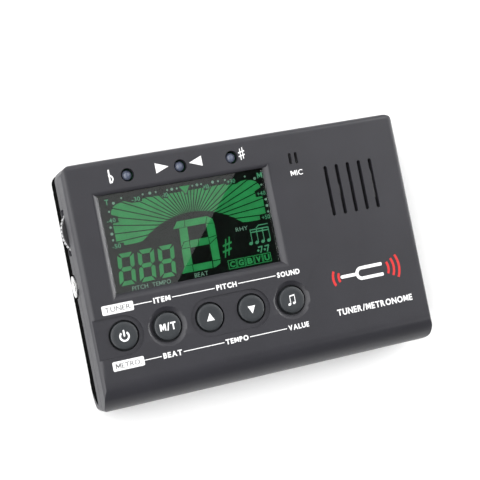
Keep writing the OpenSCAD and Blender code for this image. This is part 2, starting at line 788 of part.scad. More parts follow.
module speaker_cone() color([0.15, 0.15, 0.16]) translate([speaker_x, speaker_y, 0]) {
    z1 = face_in - gasket_t - 0.55;
    r1 = speaker_r - basket_lip - 0.1;
    rotate_extrude() polygon([
        [0, z1 + 0.6], [2.4, z1 + 0.35], [4.6, z1 - 0.4], [8.4, z1 - 0.1], [9.6, z1 + 0.5], [10.8, z1 + 0.1],
        [r1, z1], [r1, z1 - cone_t], [10.8, z1 - cone_t + 0.1], [9.6, z1 + 0.5 - cone_t],
        [8.4, z1 - 0.1 - cone_t], [4.9, z1 - 0.4 - cone_t], [4.9, z1 - 1.6], [4.6, z1 - 1.6],
        [4.6, z1 - 0.4 - cone_t], [2.4, z1 + 0.35 - cone_t], [0, z1 + 0.6 - cone_t]
    ]);
}

module speaker_magnet() color([0.5, 0.5, 0.52]) translate([speaker_x, speaker_y, magnet_z]) {
    cylinder(h = magnet_t - 0.02, r = magnet_r);
    translate([0, 0, magnet_t - 0.03]) cylinder(h = 1.5, r = 4.2);
}

module speaker_leads() color([0.7, 0.1, 0.1]) {
    for (i = [0, 1]) {
        y = speaker_y - 4 + i * 2.2;
        wire([[19.4, y - 4, board_z - 0.45], [21.6, y - 4, 11.9], [25, y - 2, 11.2], [28.6, y, 12.3]], 0.42);
    }
}

// ---- Volume control ----

module volume_wheel() color([0.08, 0.08, 0.09]) translate([wheel_x, wheel_y, wheel_z]) {
    difference() {
        rotate_extrude() polygon([
            [shaft_r, 0.3], [wheel_r - 0.35, 0], [wheel_r, 0.35], [wheel_r, wheel_t - 0.35],
            [wheel_r - 0.35, wheel_t], [shaft_r, wheel_t]
        ]);
        for (i = [0 : wheel_teeth - 1]) rotate(i * 360 / wheel_teeth)
            translate([wheel_r + 0.1, 0, -1]) cylinder(h = wheel_t + 2, r = wheel_groove_r, $fn = 4);
    }
}

module volume_shaft() color([0.75, 0.75, 0.77])
    translate([wheel_x, wheel_y, wheel_z + 0.1]) cylinder(h = board_z - 0.2 - wheel_z, r = shaft_r);

module volume_wheel_screw() color([0.75, 0.75, 0.77]) translate([wheel_x, wheel_y, wheel_z + 0.1])
    difference() {
        rotate_extrude() polygon([[0, 0], [2.4, 0], [2.4, -0.5], [1.9, -1], [0, -1]]);
        for (a = [0, 90]) rotate(a) translate([-1.4, -0.25, -1.5]) cube([2.8, 0.5, 1]);
    }

module volume_pot() color([0.35, 0.25, 0.15]) translate([wheel_x, wheel_y, board_z - pot_t]) difference() {
    union() {
        cylinder(h = pot_t - 0.02, r = pot_r);
        translate([0, -pot_r + 0.6, 0]) cube([pot_r + 2.2, 2 * pot_r - 1.2, pot_t - 0.02]);
    }
    translate([0, 0, -1]) cylinder(h = 4, r = shaft_r + 0.06);
}

// ---- Sockets ----

module phones_jack_body() color([0.1, 0.1, 0.11]) {
    l = phones_body.x;
    x0 = left + jack_back;
    difference() {
        translate([x0, phones_y - phones_body.y / 2, phones_z - phones_body.z / 2]) cube(phones_body);
        translate([x0 - 1, phones_y, phones_z]) along_x()
            cylinder(h = phones_nose_l - phones_proud - wall + 0.8, r = phones_nose_r - 0.4);
        translate([x0 - 1, phones_y, phones_z]) along_x() cylinder(h = l - 0.2, r = phones_cavity_r);
        // slots for the contact springs
        for (s = [-1, 1]) box([x0 + 4.4, phones_y + s * phones_leg_y - 0.6, phones_z - 1],
            [x0 + l - 1, phones_y + s * phones_leg_y + 0.6, phones_z + 10]);
    }
}

module phones_jack_bushing() color([0.85, 0.85, 0.87]) translate([left - phones_proud, phones_y, phones_z])
    along_x() difference() {
        union() {
            cylinder(h = 2.6, r = phones_nose_r);
            cylinder(h = phones_nose_l, r = phones_nose_r - 0.45);
        }
        translate([0, 0, -1]) cylinder(h = phones_nose_l + 2, r = phones_bore_r);
        translate([0, 0, -0.01]) cylinder(h = 0.5, r1 = phones_bore_r + 0.5, r2 = phones_bore_r);
    }

module phones_jack_contacts() color([0.85, 0.7, 0.35]) {
    x0 = left + jack_back;
    for (s = [-1, 1]) {
        y = phones_y + s * phones_leg_y;
        box([x0 + 4.8, y - 0.15, phones_z - 0.8], [x0 + phones_body.x - 1.4, y + 0.15, phones_z + 3]);
        box([x0 + phones_body.x - 2.4, y - 0.15, phones_z + 2.9],
            [x0 + phones_body.x - 1.6, y + 0.15, board_top - 0.1]);
    }
}

module input_jack_body() color([0.1, 0.1, 0.11]) {
    l = input_body.x;
    x1 = right - jack_back;
    difference() {
        translate([x1 - l, input_y - input_body.y / 2, input_z - input_body.z / 2]) cube(input_body);
        translate([x1 + 1, input_y, input_z]) along_x(-1)
            cylinder(h = input_nose_l - input_proud - wall + 0.8, r = input_nose_r - 0.3);
        translate([x1 + 1, input_y, input_z]) along_x(-1) cylinder(h = l - 0.2, r = input_cavity_r);
        for (s = [-1, 1]) box([x1 - l + 1.5, input_y + s * input_leg_y - 0.7, input_z - 1.5],
            [x1 - 6, input_y + s * input_leg_y + 0.7, input_z + 10]);
    }
}

module input_jack_bushing() color([0.8, 0.8, 0.82]) translate([right + input_proud, input_y, input_z])
    along_x(-1) difference() {
        union() {
            cylinder(h = 2.4, r = input_nose_r);
            cylinder(h = input_nose_l, r = input_nose_r - 0.35);
        }
        translate([0, 0, -1]) cylinder(h = input_nose_l + 2, r = input_bore_r);
        translate([0, 0, -0.01]) cylinder(h = 0.6, r1 = input_bore_r + 0.6, r2 = input_bore_r);
    }

module input_jack_contacts() color([0.85, 0.7, 0.35]) {
    x0 = right - jack_back - input_body.x;
    for (s = [-1, 1]) {
        y = input_y + s * input_leg_y;
        box([x0 + 2, y - 0.2, input_z - 1.2], [x0 + 12.6, y + 0.2, input_z + 4]);
        box([x0 + 3, y - 0.2, input_z + 3.9], [x0 + 4.2, y + 0.2, board_top + 0.5]);
    }
}

// ---- Batteries ----

// One cell along X, with its raised end towards +X
module cell() along_x() {
    cylinder(h = cell_l - nub_l, r = cell_r);
    translate([0, 0, cell_l - nub_l - eps]) cylinder(h = nub_l + eps, r = nub_r);
}

module battery_cell_upper() color([0.2, 0.35, 0.2])
    translate([bay_x - plate_t - cell_l - 0.1, cell_y + cell_pitch / 2, cell_z]) cell();

module battery_cell_lower() color([0.2, 0.35, 0.2])
    translate([-bay_x + plate_t + cell_l + 0.1, cell_y - cell_pitch / 2, cell_z]) mirror([1, 0, 0]) cell();

// A cone of wire rings standing along +X, wide at its foot
function spring_point(t, l) = let(r = 3.6 - 1.8 * t, a = 360 * spring_turns * t)
    [l * t, r * cos(a), r * sin(a)];

module coil_spring(l) {
    steps = spring_turns * 12;
    sides = 6;
    ring_points = [for (i = [0 : steps], j = [0 : sides - 1])
        let(p = spring_point(i / steps, l), a = 360 * spring_turns * i / steps, b = 360 * j / sides)
        p + spring_wire_r * [sin(b), cos(b) * cos(a), cos(b) * sin(a)]];
    walls = [for (i = [0 : steps - 1], j = [0 : sides - 1])
        [i * sides + j, i * sides + (j + 1) % sides, (i + 1) * sides + (j + 1) % sides, (i + 1) * sides + j]];
    first = [for (j = [0 : sides - 1]) sides - 1 - j];
    last = [for (j = [0 : sides - 1]) steps * sides + j];
    polyhedron(ring_points, concat([first], walls, [last]), convexity = 8);
}

module battery_springs() color([0.8, 0.8, 0.82]) {
    l = 2 * bay_x - 2 * plate_t - cell_l - 0.9;
    translate([-bay_x + plate_t + 0.35, cell_y + cell_pitch / 2, cell_z]) coil_spring(l);
    translate([bay_x - plate_t - 0.35, cell_y - cell_pitch / 2, cell_z]) rotate([0, 0, 180]) coil_spring(l);
}

module battery_plates() color([0.8, 0.8, 0.82]) {
    h = 8.6;
    w = 8;
    z0 = cell_z - h / 2;
    for (s = [-1, 1]) translate([-bay_x, cell_y + s * cell_pitch / 2 - w / 2, z0]) cube([plate_t, w, h]);
    // one plate joins the two cells at the other end
    translate([bay_x - plate_t, cell_y - cell_pitch / 2 - w / 2, z0]) cube([plate_t, cell_pitch + w, h]);
}

module battery_leads() color([0.1, 0.1, 0.1]) {
    for (i = [0, 1]) {
        y = cell_y + (i == 0 ? 1 : -1) * cell_pitch / 2;
        wire([[-bay_x - bay_wall - 0.5, y, 7.4], [-29, y, 8.6], [-30.4, y + 0.8, 11],
            [-32.4, y + 1.2, board_z - 0.5]], 0.42);
    }
}

// ---- Fasteners and chips ----

module case_screws() color([0.7, 0.7, 0.72]) {
    z0 = screw_head_z - 1.2 + screw_seat - 1.6;
    for (p = boss_at) translate([p.x, p.y, z0]) difference() {
        union() {
            cylinder(h = 1.4, r = screw_head_r);
            cylinder(h = screw_tip_z - z0 - 1, r = screw_r);
            translate([0, 0, screw_tip_z - z0 - 1]) cylinder(h = 1, r1 = screw_r, r2 = 0.3);
        }
        for (a = [0, 90]) rotate(a) translate([-1.3, -0.3, -1]) cube([2.6, 0.6, 1.8]);
    }
}

module board_screws() color([0.7, 0.7, 0.72]) {
    for (p = post_at) translate([p.x, p.y, board_z]) difference() {
        union() {
            translate([0, 0, -1]) cylinder(h = 0.98, r = 1.6);
            translate([0, 0, -0.05]) cylinder(h = board_screw_l, r = board_screw_r);
        }
        for (a = [0, 90]) rotate(a) translate([-1, -0.22, -2]) cube([2, 0.44, 1.5]);
    }
}

module processor_chip() color([0.07, 0.07, 0.08]) {
    translate([-12, 4, board_z - 1.5]) cube([9, 9, 1.4]);
    for (s = [-1, 1], i = [0 : 7]) {
        translate([-11.2 + i * 1.03, 8.5 + s * 4.9 - 0.5, board_z - 0.75]) cube([0.4, 1, 0.74]);
        translate([-7.5 + s * 4.9 - 0.5, 4.8 + i * 1.03, board_z - 0.75]) cube([1, 0.4, 0.74]);
    }
}

module amplifier_chip() color([0.07, 0.07, 0.08]) {
    translate([14, 1, board_z - 1.6]) cube([5, 4, 1.5]);
    for (s = [-1, 1], i = [0 : 3])
        translate([14.4 + i * 1.27, 3 + s * 2.3 - 0.5, board_z - 0.8]) cube([0.4, 1, 0.79]);
}

module crystal() color([0.75, 0.75, 0.77]) translate([4, 18, board_z - 1.62])
    rotate(90) slab(4.6, 1.6 * 2, 1.6, 1.5);

module capacitors() color([0.2, 0.2, 0.5]) {
    for (p = [[-30, 24], [-24, 24], [8, 26]]) translate([p.x, p.y, board_z - 5.4]) cylinder(h = 5.38, r = 2);
}

front_shell();
rear_shell();
battery_door();
tilt_stand();
stand_hinge_pin();
display_window();
lcd_panel();
lcd_backlight();
lcd_frame();
zebra_strips();
on_board() main_board();
for (i = [0 : key_count - 1]) {
    key_cap(i);
    switch_stem(i);
}
switch_housings();
lamp(0);  // flat_lamp
lamp(1);  // in_tune_lamp
lamp(2);  // sharp_lamp
mic_boot();
mic_capsule();
speaker_gasket();
speaker_basket();
speaker_cone();
speaker_magnet();
speaker_leads();
volume_wheel();
volume_shaft();
volume_wheel_screw();
volume_pot();
phones_jack_body();
phones_jack_bushing();
phones_jack_contacts();
input_jack_body();
input_jack_bushing();
input_jack_contacts();
battery_cell_upper();
battery_cell_lower();
battery_springs();
battery_plates();
battery_leads();
case_screws();
board_screws();
processor_chip();
amplifier_chip();
crystal();
capacitors();
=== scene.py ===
"""The looks of a desktop tuner and metronome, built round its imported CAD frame."""
import math

import bmesh
import bpy
from mathutils import Matrix, Vector


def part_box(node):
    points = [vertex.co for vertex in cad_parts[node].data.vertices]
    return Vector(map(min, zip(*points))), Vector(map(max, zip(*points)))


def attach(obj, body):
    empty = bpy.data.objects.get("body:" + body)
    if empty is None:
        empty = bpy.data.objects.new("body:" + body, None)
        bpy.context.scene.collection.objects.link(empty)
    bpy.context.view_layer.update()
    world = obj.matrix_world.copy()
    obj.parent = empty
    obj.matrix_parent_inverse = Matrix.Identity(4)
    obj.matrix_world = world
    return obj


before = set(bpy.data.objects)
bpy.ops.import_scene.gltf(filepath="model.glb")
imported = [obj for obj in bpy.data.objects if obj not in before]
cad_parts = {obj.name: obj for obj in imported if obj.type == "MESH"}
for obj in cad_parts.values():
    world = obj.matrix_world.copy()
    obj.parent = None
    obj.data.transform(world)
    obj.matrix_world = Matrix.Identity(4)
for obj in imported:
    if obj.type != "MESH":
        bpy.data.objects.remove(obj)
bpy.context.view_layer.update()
MM = 0.001
INK = 0.03  # thickness of printed ink, mm
BAND_STEP, BAND_CORNER, BAND_TOP = 0.3 * MM, 3.1 * MM, 7.6 * MM  # the rear shell's sunk band
BAND_EDGE, BAND_FRONT = 0.12 * MM, 1.8 * MM  # how near the wall counts as on it, and the nose's own margin
scene = bpy.context.scene


# ---- Procedural materials ----

class Shader:
    """A Principled material whose nodes read the part's own coordinates."""

    def __init__(self, name, rough=0.5, metallic=0.0, coat=0.0, coat_rough=0.1, sheen=0.0, ior=1.5):
        self.mat = bpy.data.materials.new(name)
        self.mat.use_nodes = True
        tree = self.mat.node_tree
        self.nodes, self.links = tree.nodes, tree.links
        self.bsdf = self.nodes["Principled BSDF"]
        self.coords = self.nodes.new("ShaderNodeTexCoord").outputs["Object"]
        self.bump_from = None
        for key, value in (("Roughness", rough), ("Metallic", metallic), ("Coat Weight", coat),
                           ("Coat Roughness", coat_rough), ("Sheen Weight", sheen), ("IOR", ior)):
            self.bsdf.inputs[key].default_value = value

    def put(self, source, key):
        """Feeds one of the shader's own inputs."""
        self.links.new(source, self.bsdf.inputs[key])

    def stretched(self, scale):
        """The coordinates, scaled along each axis."""
        node = self.nodes.new("ShaderNodeMapping")
        node.inputs["Scale"].default_value = scale
        self.links.new(self.coords, node.inputs["Vector"])
        return node.outputs["Vector"]

    def noise(self, size, detail=3.0, rough=0.5, scale=(1, 1, 1)):
        """Cloudy noise whose blotches are about size mm across."""
        node = self.nodes.new("ShaderNodeTexNoise")
        node.inputs["Scale"].default_value = 1 / (size * MM)
        node.inputs["Detail"].default_value = detail
        node.inputs["Roughness"].default_value = rough
        self.links.new(self.stretched(scale), node.inputs["Vector"])
        return node.outputs["Fac"]

    def cells(self, size):
        """How far from the nearest of dots that lie about size mm apart."""
        node = self.nodes.new("ShaderNodeTexVoronoi")
        node.inputs["Scale"].default_value = 1 / (size * MM)
        self.links.new(self.coords, node.inputs["Vector"])
        return node.outputs["Distance"]

    def axis(self, name, middle=0.0, size=1.0):
        """How far along an axis, from 0 to 1 over size mm round middle mm."""
        split = self.nodes.new("ShaderNodeSeparateXYZ")
        self.links.new(self.coords, split.inputs["Vector"])
        node = self.nodes.new("ShaderNodeMapRange")
        self.links.new(split.outputs[name], node.inputs["Value"])
        node.inputs["From Min"].default_value = (middle - size / 2) * MM
        node.inputs["From Max"].default_value = (middle + size / 2) * MM
        return node.outputs["Result"]

    def ramp(self, source, *stops):
        """Grey levels or colours at places along source, each stop (place, colour)."""
        node = self.nodes.new("ShaderNodeValToRGB")
        band = node.color_ramp
        while len(band.elements) < len(stops):
            band.elements.new(0.5)
        for element, (place, colour) in zip(band.elements, stops):
            element.position = place
            if isinstance(colour, (int, float)):
                colour = (colour, colour, colour)
            element.color = (*colour, 1)
        self.links.new(source, node.inputs["Fac"])
        return node.outputs["Color"]

    def mix(self, weight, one, two):
        """Colour one where weight is 0 and colour two where it is 1."""
        node = self.nodes.new("ShaderNodeMix")
        node.data_type = "RGBA"
        for key, value in ((0, weight), (6, one), (7, two)):
            if isinstance(value, bpy.types.NodeSocket):
                self.links.new(value, node.inputs[key])
            else:
                node.inputs[key].default_value = value if key == 0 else (*value, 1)
        return node.outputs[2]

    def vector(self, operation, source, other=None, value=False):
        """A vector operation; value asks for its number instead of its vector."""
        node = self.nodes.new("ShaderNodeVectorMath")
        node.operation = operation
        self.links.new(source, node.inputs[0])
        if other is not None:
            node.inputs[1].default_value = other
        return node.outputs["Value" if value else "Vector"]

    def maths(self, operation, *values):
        """A number operation on sockets or plain numbers."""
        node = self.nodes.new("ShaderNodeMath")
        node.operation = operation
        for place, value in enumerate(values):
            if isinstance(value, bpy.types.NodeSocket):
                self.links.new(value, node.inputs[place])
            else:
                node.inputs[place].default_value = value
        return node.outputs["Value"]

    def bump(self, height, depth):
        """Adds relief depth mm deep, on top of any relief already there."""
        node = self.nodes.new("ShaderNodeBump")
        node.inputs["Strength"].default_value = 1.0
        node.inputs["Distance"].default_value = depth * MM
        self.links.new(height, node.inputs["Height"])
        if self.bump_from:
            self.links.new(self.bump_from, node.inputs["Normal"])
        self.bump_from = node.outputs["Normal"]
        self.put(self.bump_from, "Normal")


def shade(colour, factor):
    """The colour made lighter or darker by a factor."""
    return tuple(min(1.0, c * factor) for c in colour)


def speckled(s, colour, spread, specks):
    """A softly clouded colour, with a few brighter sparks where specks is above 0."""
    tint = s.ramp(s.noise(14, 4), (0.3, shade(colour, 1 - spread)), (0.7, shade(colour, 1 + spread)))
    if not specks:
        return tint
    flake = s.ramp(s.noise(0.16, 1), (0.56, 0.0), (0.74, specks))
    return s.mix(flake, tint, shade(colour, 3.2))


def moulded(name, colour, rough=0.5, grain=0.28, depth=0.012, spread=0.10, specks=0.0):
    """Moulded plastic with a fine spark texture."""
    s = Shader(name, rough=rough)
    s.put(speckled(s, colour, spread, specks), "Base Color")
    fine = s.noise(grain, 2)
    s.put(s.ramp(fine, (0.3, rough - 0.05), (0.7, rough + 0.07)), "Roughness")
    s.bump(fine, depth)
    return s.mat


def metal(name, colour, rough=0.25, brushed=(1, 1, 1), depth=0.004):
    """Plated metal with faint drawing lines and a trace of tarnish."""
    s = Shader(name, rough=rough, metallic=1.0)
    tarnish = s.noise(2.4, 4)
    s.put(s.ramp(tarnish, (0.35, shade(colour, 0.86)), (0.7, colour)), "Base Color")
    lines = s.noise(0.35, 3, scale=brushed)
    s.put(s.ramp(lines, (0.3, rough - 0.07), (0.75, rough + 0.1)), "Roughness")
    s.bump(lines, depth)
    return s.mat


def inked(name, colour, rough=0.55):
    """Pad-printed ink: nearly even, a little thin in places."""
    s = Shader(name, rough=rough)
    s.put(s.ramp(s.noise(0.5, 3), (0.2, shade(colour, 0.9)), (0.6, colour)), "Base Color")
    s.bump(s.noise(0.2, 2), 0.004)
    return s.mat


def lit(name, colour, glow, edge=0.8):
    """A lit part of the display: a dark film with the lamp's colour behind it."""
    s = Shader(name, rough=0.4)
    cloud = s.noise(3.0, 3)
    s.put(s.ramp(cloud, (0.3, shade(colour, 0.2)), (0.65, shade(colour, 0.3))), "Base Color")
    s.put(s.ramp(cloud, (0.3, shade(colour, edge)), (0.65, colour)), "Emission Color")
    s.bsdf.inputs["Emission Strength"].default_value = glow
    return s.mat


CHARCOAL = (0.019, 0.0187, 0.0232)
MATERIALS = {
    "case": moulded("charcoal_satin", CHARCOAL, rough=0.46, grain=0.24, depth=0.010, specks=0.35),
    "key": moulded("key_satin", (0.023, 0.026, 0.029), rough=0.42, grain=0.2, depth=0.006, specks=0.2),
    "black_nylon": moulded("black_nylon", (0.016, 0.016, 0.017), rough=0.5, depth=0.02),
    "pale_nylon": moulded("pale_nylon", (0.62, 0.62, 0.58), rough=0.5, spread=0.05),
    "rubber": moulded("soft_rubber", (0.02, 0.02, 0.02), rough=0.75, grain=0.15, depth=0.02),
    "chip": moulded("chip_resin", (0.018, 0.018, 0.02), rough=0.6, grain=0.1, depth=0.01),
    "sleeve": moulded("capacitor_sleeve", (0.02, 0.02, 0.09), rough=0.25, depth=0.002),
    "phenolic": moulded("phenolic", (0.13, 0.07, 0.03), rough=0.45, spread=0.25),
    "steel": metal("plated_steel", (0.62, 0.62, 0.64), 0.3, (1, 6, 1)),
    "nickel": metal("bright_nickel", (0.83, 0.83, 0.82), 0.16, (6, 1, 1), 0.002),
    "brass": metal("spring_brass", (0.80, 0.58, 0.24), 0.22, (1, 1, 6)),
    "white": inked("white_ink", (0.80, 0.80, 0.80)),
    "red": inked("red_ink", (0.55, 0.02, 0.02)),
    "dark": inked("grey_ink", (0.11, 0.11, 0.113)),
    "green": lit("segment_green", (0.010, 0.31, 0.072), 0.74),
    "deep": lit("segment_gap", (0.002, 0.03, 0.012), 0.25),
    "label": lit("label_green", (0.07, 0.38, 0.18), 0.75),
    "dim": lit("label_grey", (0.17, 0.36, 0.25), 0.8),
}


def window_material():
    """Hard-coated clear acrylic with hairline scratches."""
    s = Shader("window_clear", rough=0.0, ior=1.75)
    s.bsdf.inputs["Transmission Weight"].default_value = 1.0
    s.put(s.ramp(s.noise(9, 3), (0.3, (0.86, 0.88, 0.87)), (0.7, (0.94, 0.95, 0.95))), "Base Color")
    s.bump(s.noise(9, 1), 0.0002)
    return s.mat


def glass_panel_material():
    """The dark liquid crystal glass, a touch green towards its two ends: painted light, where the lamp leaks.
    """
    s = Shader("lcd_glass", rough=0.12)
    # Painted light: the lamp's leak is painted into the colour, greener at both ends and darker in the
    # middle.
    painted_leak_glow = s.ramp(s.axis("X", -18.8, 60), (0.0, (0.004, 0.009, 0.006)), (0.5, (0.002, 0.005, 0.003)),
                  (1.0, (0.003, 0.008, 0.005)))
    s.put(s.mix(s.ramp(s.noise(6, 3), (0.4, 0.0), (0.8, 0.5)), painted_leak_glow, (0.003, 0.010, 0.006)), "Base Color")
    s.bsdf.inputs["Specular IOR Level"].default_value = 0.1
    s.bump(s.noise(5, 2), 0.002)
    return s.mat


def light_guide_material():
    """Frosted acrylic with the moulded dots that spread its light."""
    s = Shader("light_guide", rough=0.35)
    dots = s.ramp(s.cells(0.8), (0.1, (0.9, 0.95, 0.9)), (0.35, (0.62, 0.8, 0.68)))
    s.put(dots, "Base Color")
    s.bump(s.cells(0.8), 0.05)
    return s.mat


def board_material():
    """Solder mask over copper traces, with tinned pads."""
    s = Shader("board_laminate", rough=0.35, coat=0.4)
    tracks = s.nodes.new("ShaderNodeTexBrick")
    tracks.inputs["Scale"].default_value = 120
    tracks.inputs["Mortar Size"].default_value = 0.028
    tracks.inputs["Color1"].default_value = (0.010, 0.085, 0.035, 1)
    tracks.inputs["Color2"].default_value = (0.012, 0.100, 0.042, 1)
    tracks.inputs["Mortar"].default_value = (0.025, 0.20, 0.075, 1)
    s.links.new(s.coords, tracks.inputs["Vector"])
    pads = s.ramp(s.cells(2.6), (0.10, 1.0), (0.13, 0.0))
    s.put(s.mix(pads, tracks.outputs["Color"], (0.72, 0.70, 0.62)), "Base Color")
    s.put(pads, "Metallic")
    s.bump(tracks.outputs["Fac"], 0.02)
    return s.mat


def lamp_material():
    """Milky epoxy: pale blue-grey, clearer at the tip, glossy."""
    s = Shader("lamp_lens", rough=0.3, coat=0.25, coat_rough=0.15)
    milk = s.ramp(s.noise(1.2, 3), (0.3, (0.085, 0.10, 0.15)), (0.7, (0.13, 0.15, 0.21)))
    s.put(milk, "Base Color")
    s.bsdf.inputs["Subsurface Weight"].default_value = 0.35
    s.bsdf.inputs["Subsurface Scale"].default_value = 0.6 * MM
    s.bsdf.inputs["Subsurface Radius"].default_value = (1, 1, 1)
    s.bump(s.noise(0.5, 1), 0.003)
    return s.mat


def wheel_material():
    """Black moulding whose ridge tops are plated, by distance from the wheel's axle."""
    low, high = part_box("volume_wheel")
    middle = (low + high) / 2
    s = Shader("knurled_black", rough=0.3)
    away = s.vector("MULTIPLY", s.vector("SUBTRACT", s.coords, middle), (1, 1, 0))
    rim = s.nodes.new("ShaderNodeMapRange")
    radius = (high.x - low.x) / 2
    rim.inputs["From Min"].default_value = radius - 0.14 * MM
    rim.inputs["From Max"].default_value = radius - 0.02 * MM
    s.links.new(s.vector("LENGTH", away, value=True), rim.inputs["Value"])
    plated = s.ramp(rim.outputs["Result"], (0.1, 0.0), (0.6, 1.0))
    black = s.ramp(s.noise(2, 3), (0.3, (0.014, 0.014, 0.015)), (0.7, (0.024, 0.024, 0.026)))
    s.put(s.mix(plated, black, (0.42, 0.42, 0.43)), "Base Color")
    s.put(plated, "Metallic")
    s.bump(s.noise(0.2, 2), 0.01)
    return s.mat


def cone_material():
    """Smoked film with the ripples of its surround."""
    s = Shader("speaker_film", rough=0.28, sheen=0.1)
    s.put(s.ramp(s.noise(3, 4), (0.3, (0.018, 0.018, 0.02)), (0.7, (0.035, 0.035, 0.038))), "Base Color")
    s.bump(s.noise(0.7, 2), 0.03)
    return s.mat


def cell_material(node, tip):
    """A plain battery jacket: green, with a dark band towards its raised end (tip = 1 or -1)."""
    low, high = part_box(node)
    middle, size = (low.x + high.x) / 2 / MM, (high.x - low.x) / MM
    s = Shader("jacket_" + node, rough=0.32, coat=0.3)
    along = s.axis("X", middle, size)
    steel, band, jacket = (0.6, 0.6, 0.6), (0.02, 0.02, 0.02), (0.03, 0.16, 0.06)
    stops = [(0.0, steel), (0.012, jacket), (0.70, jacket), (0.715, band), (0.965, band), (0.972, steel)]
    if tip < 0:
        stops = [(1 - place, colour) for place, colour in reversed(stops)]
    s.put(s.ramp(along, *stops), "Base Color")
    s.put(s.ramp(s.noise(1.5, 3), (0.3, 0.26), (0.7, 0.4)), "Roughness")
    s.bump(s.noise(6, 3), 0.02)
    return s.mat


def wire_material(node):
    """Red insulation for one wire of the pair and black for the other."""
    low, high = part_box(node)
    s = Shader("insulation_" + node, rough=0.42)
    side = s.axis("Y", (low.y + high.y) / 2 / MM, (high.y - low.y) / MM)
    s.put(s.ramp(side, (0.49, (0.03, 0.03, 0.03)), (0.51, (0.42, 0.02, 0.02))), "Base Color")
    s.bump(s.noise(0.5, 2), 0.01)
    return s.mat


def rear_shell_material():
    """The case's satin plastic, with the sunk band round its side walls in black: painted shade, with its
    specular taken away.
    """
    low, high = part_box("front_shell")
    wall, y_wall = high.x - BAND_STEP, high.y - BAND_STEP
    s = Shader("charcoal_and_painted_shade", rough=0.46)
    apart = s.vector("ABSOLUTE", s.coords)
    apart = s.vector("SUBTRACT", apart, (wall - BAND_CORNER, y_wall - BAND_CORNER, 0))
    apart = s.vector("MAXIMUM", apart, (0, 0, 0))
    apart = s.vector("MULTIPLY", apart, (1, 1, 0))
    on_wall = s.maths("COMPARE", s.vector("LENGTH", apart, value=True), BAND_CORNER, BAND_EDGE)
    split = s.nodes.new("ShaderNodeSeparateXYZ")
    s.links.new(s.coords, split.inputs["Vector"])
    below = s.maths("LESS_THAN", split.outputs["Z"], BAND_TOP + BAND_EDGE / 3)
    behind = s.maths("GREATER_THAN", split.outputs["Y"], low.y + BAND_FRONT)
    band = s.maths("MULTIPLY", s.maths("MULTIPLY", on_wall, below), behind)
    # Painted shade: the band's near-black colour stands in for the shade that falls inside the sunk band.
    black = s.ramp(s.noise(14, 4), (0.3, 0.0025), (0.7, 0.004))
    s.put(s.mix(band, speckled(s, CHARCOAL, 0.10, 0.35), black), "Base Color")
    # Painted shade: no specular on the band, so it shows none of the light it would reflect.
    s.put(s.mix(band, (0.5, 0.5, 0.5), (0.0, 0.0, 0.0)), "Specular IOR Level")
    s.bump(s.noise(0.24, 2), 0.010)
    return s.mat


MATERIALS.update({
    "rear_shell": rear_shell_material(),
    "window": window_material(),
    "panel": glass_panel_material(),
    "guide": light_guide_material(),
    "board": board_material(),
    "lamp": lamp_material(),
    "wheel": wheel_material(),
    "cone": cone_material(),
    "zebra": moulded("zebra_rubber", (0.05, 0.05, 0.055), rough=0.7, grain=0.1, spread=0.3),
})
for tip, cell in ((1, "battery_cell_upper"), (-1, "battery_cell_lower")):
    MATERIALS[cell] = cell_material(cell, tip)
for leads in ("speaker_leads", "battery_leads"):
    MATERIALS[leads] = wire_material(leads)

LOOKS = {
    "case": ["front_shell", "battery_door", "tilt_stand"],
    "rear_shell": ["rear_shell"],
    "key": ["key_power", "key_mode", "key_up", "key_down", "key_sound"],
    "black_nylon": ["switch_stem_power", "switch_stem_mode", "switch_stem_up", "switch_stem_down",
                    "switch_stem_sound", "phones_jack_body", "input_jack_body"],
    "pale_nylon": ["lcd_frame"],
    "rubber": ["mic_boot", "speaker_gasket"],
    "chip": ["processor_chip", "amplifier_chip"],
    "sleeve": ["capacitors"],
    "phenolic": ["volume_pot"],
    "steel": ["stand_hinge_pin", "switch_housings", "speaker_basket", "speaker_magnet", "volume_shaft",
              "volume_wheel_screw", "case_screws", "board_screws"],
    "nickel": ["mic_capsule", "phones_jack_bushing", "input_jack_bushing", "battery_springs",
               "battery_plates", "crystal"],
    "brass": ["phones_jack_contacts", "input_jack_contacts"],
    "window": ["display_window"],
    "panel": ["lcd_panel"],
    "guide": ["lcd_backlight"],
    "board": ["main_board"],
    "lamp": ["flat_lamp", "in_tune_lamp", "sharp_lamp"],
    "wheel": ["volume_wheel"],
    "cone": ["speaker_cone"],
    "zebra": ["zebra_strips"],
}
for node in ("battery_cell_upper", "battery_cell_lower", "speaker_leads", "battery_leads"):
    LOOKS[node] = [node]


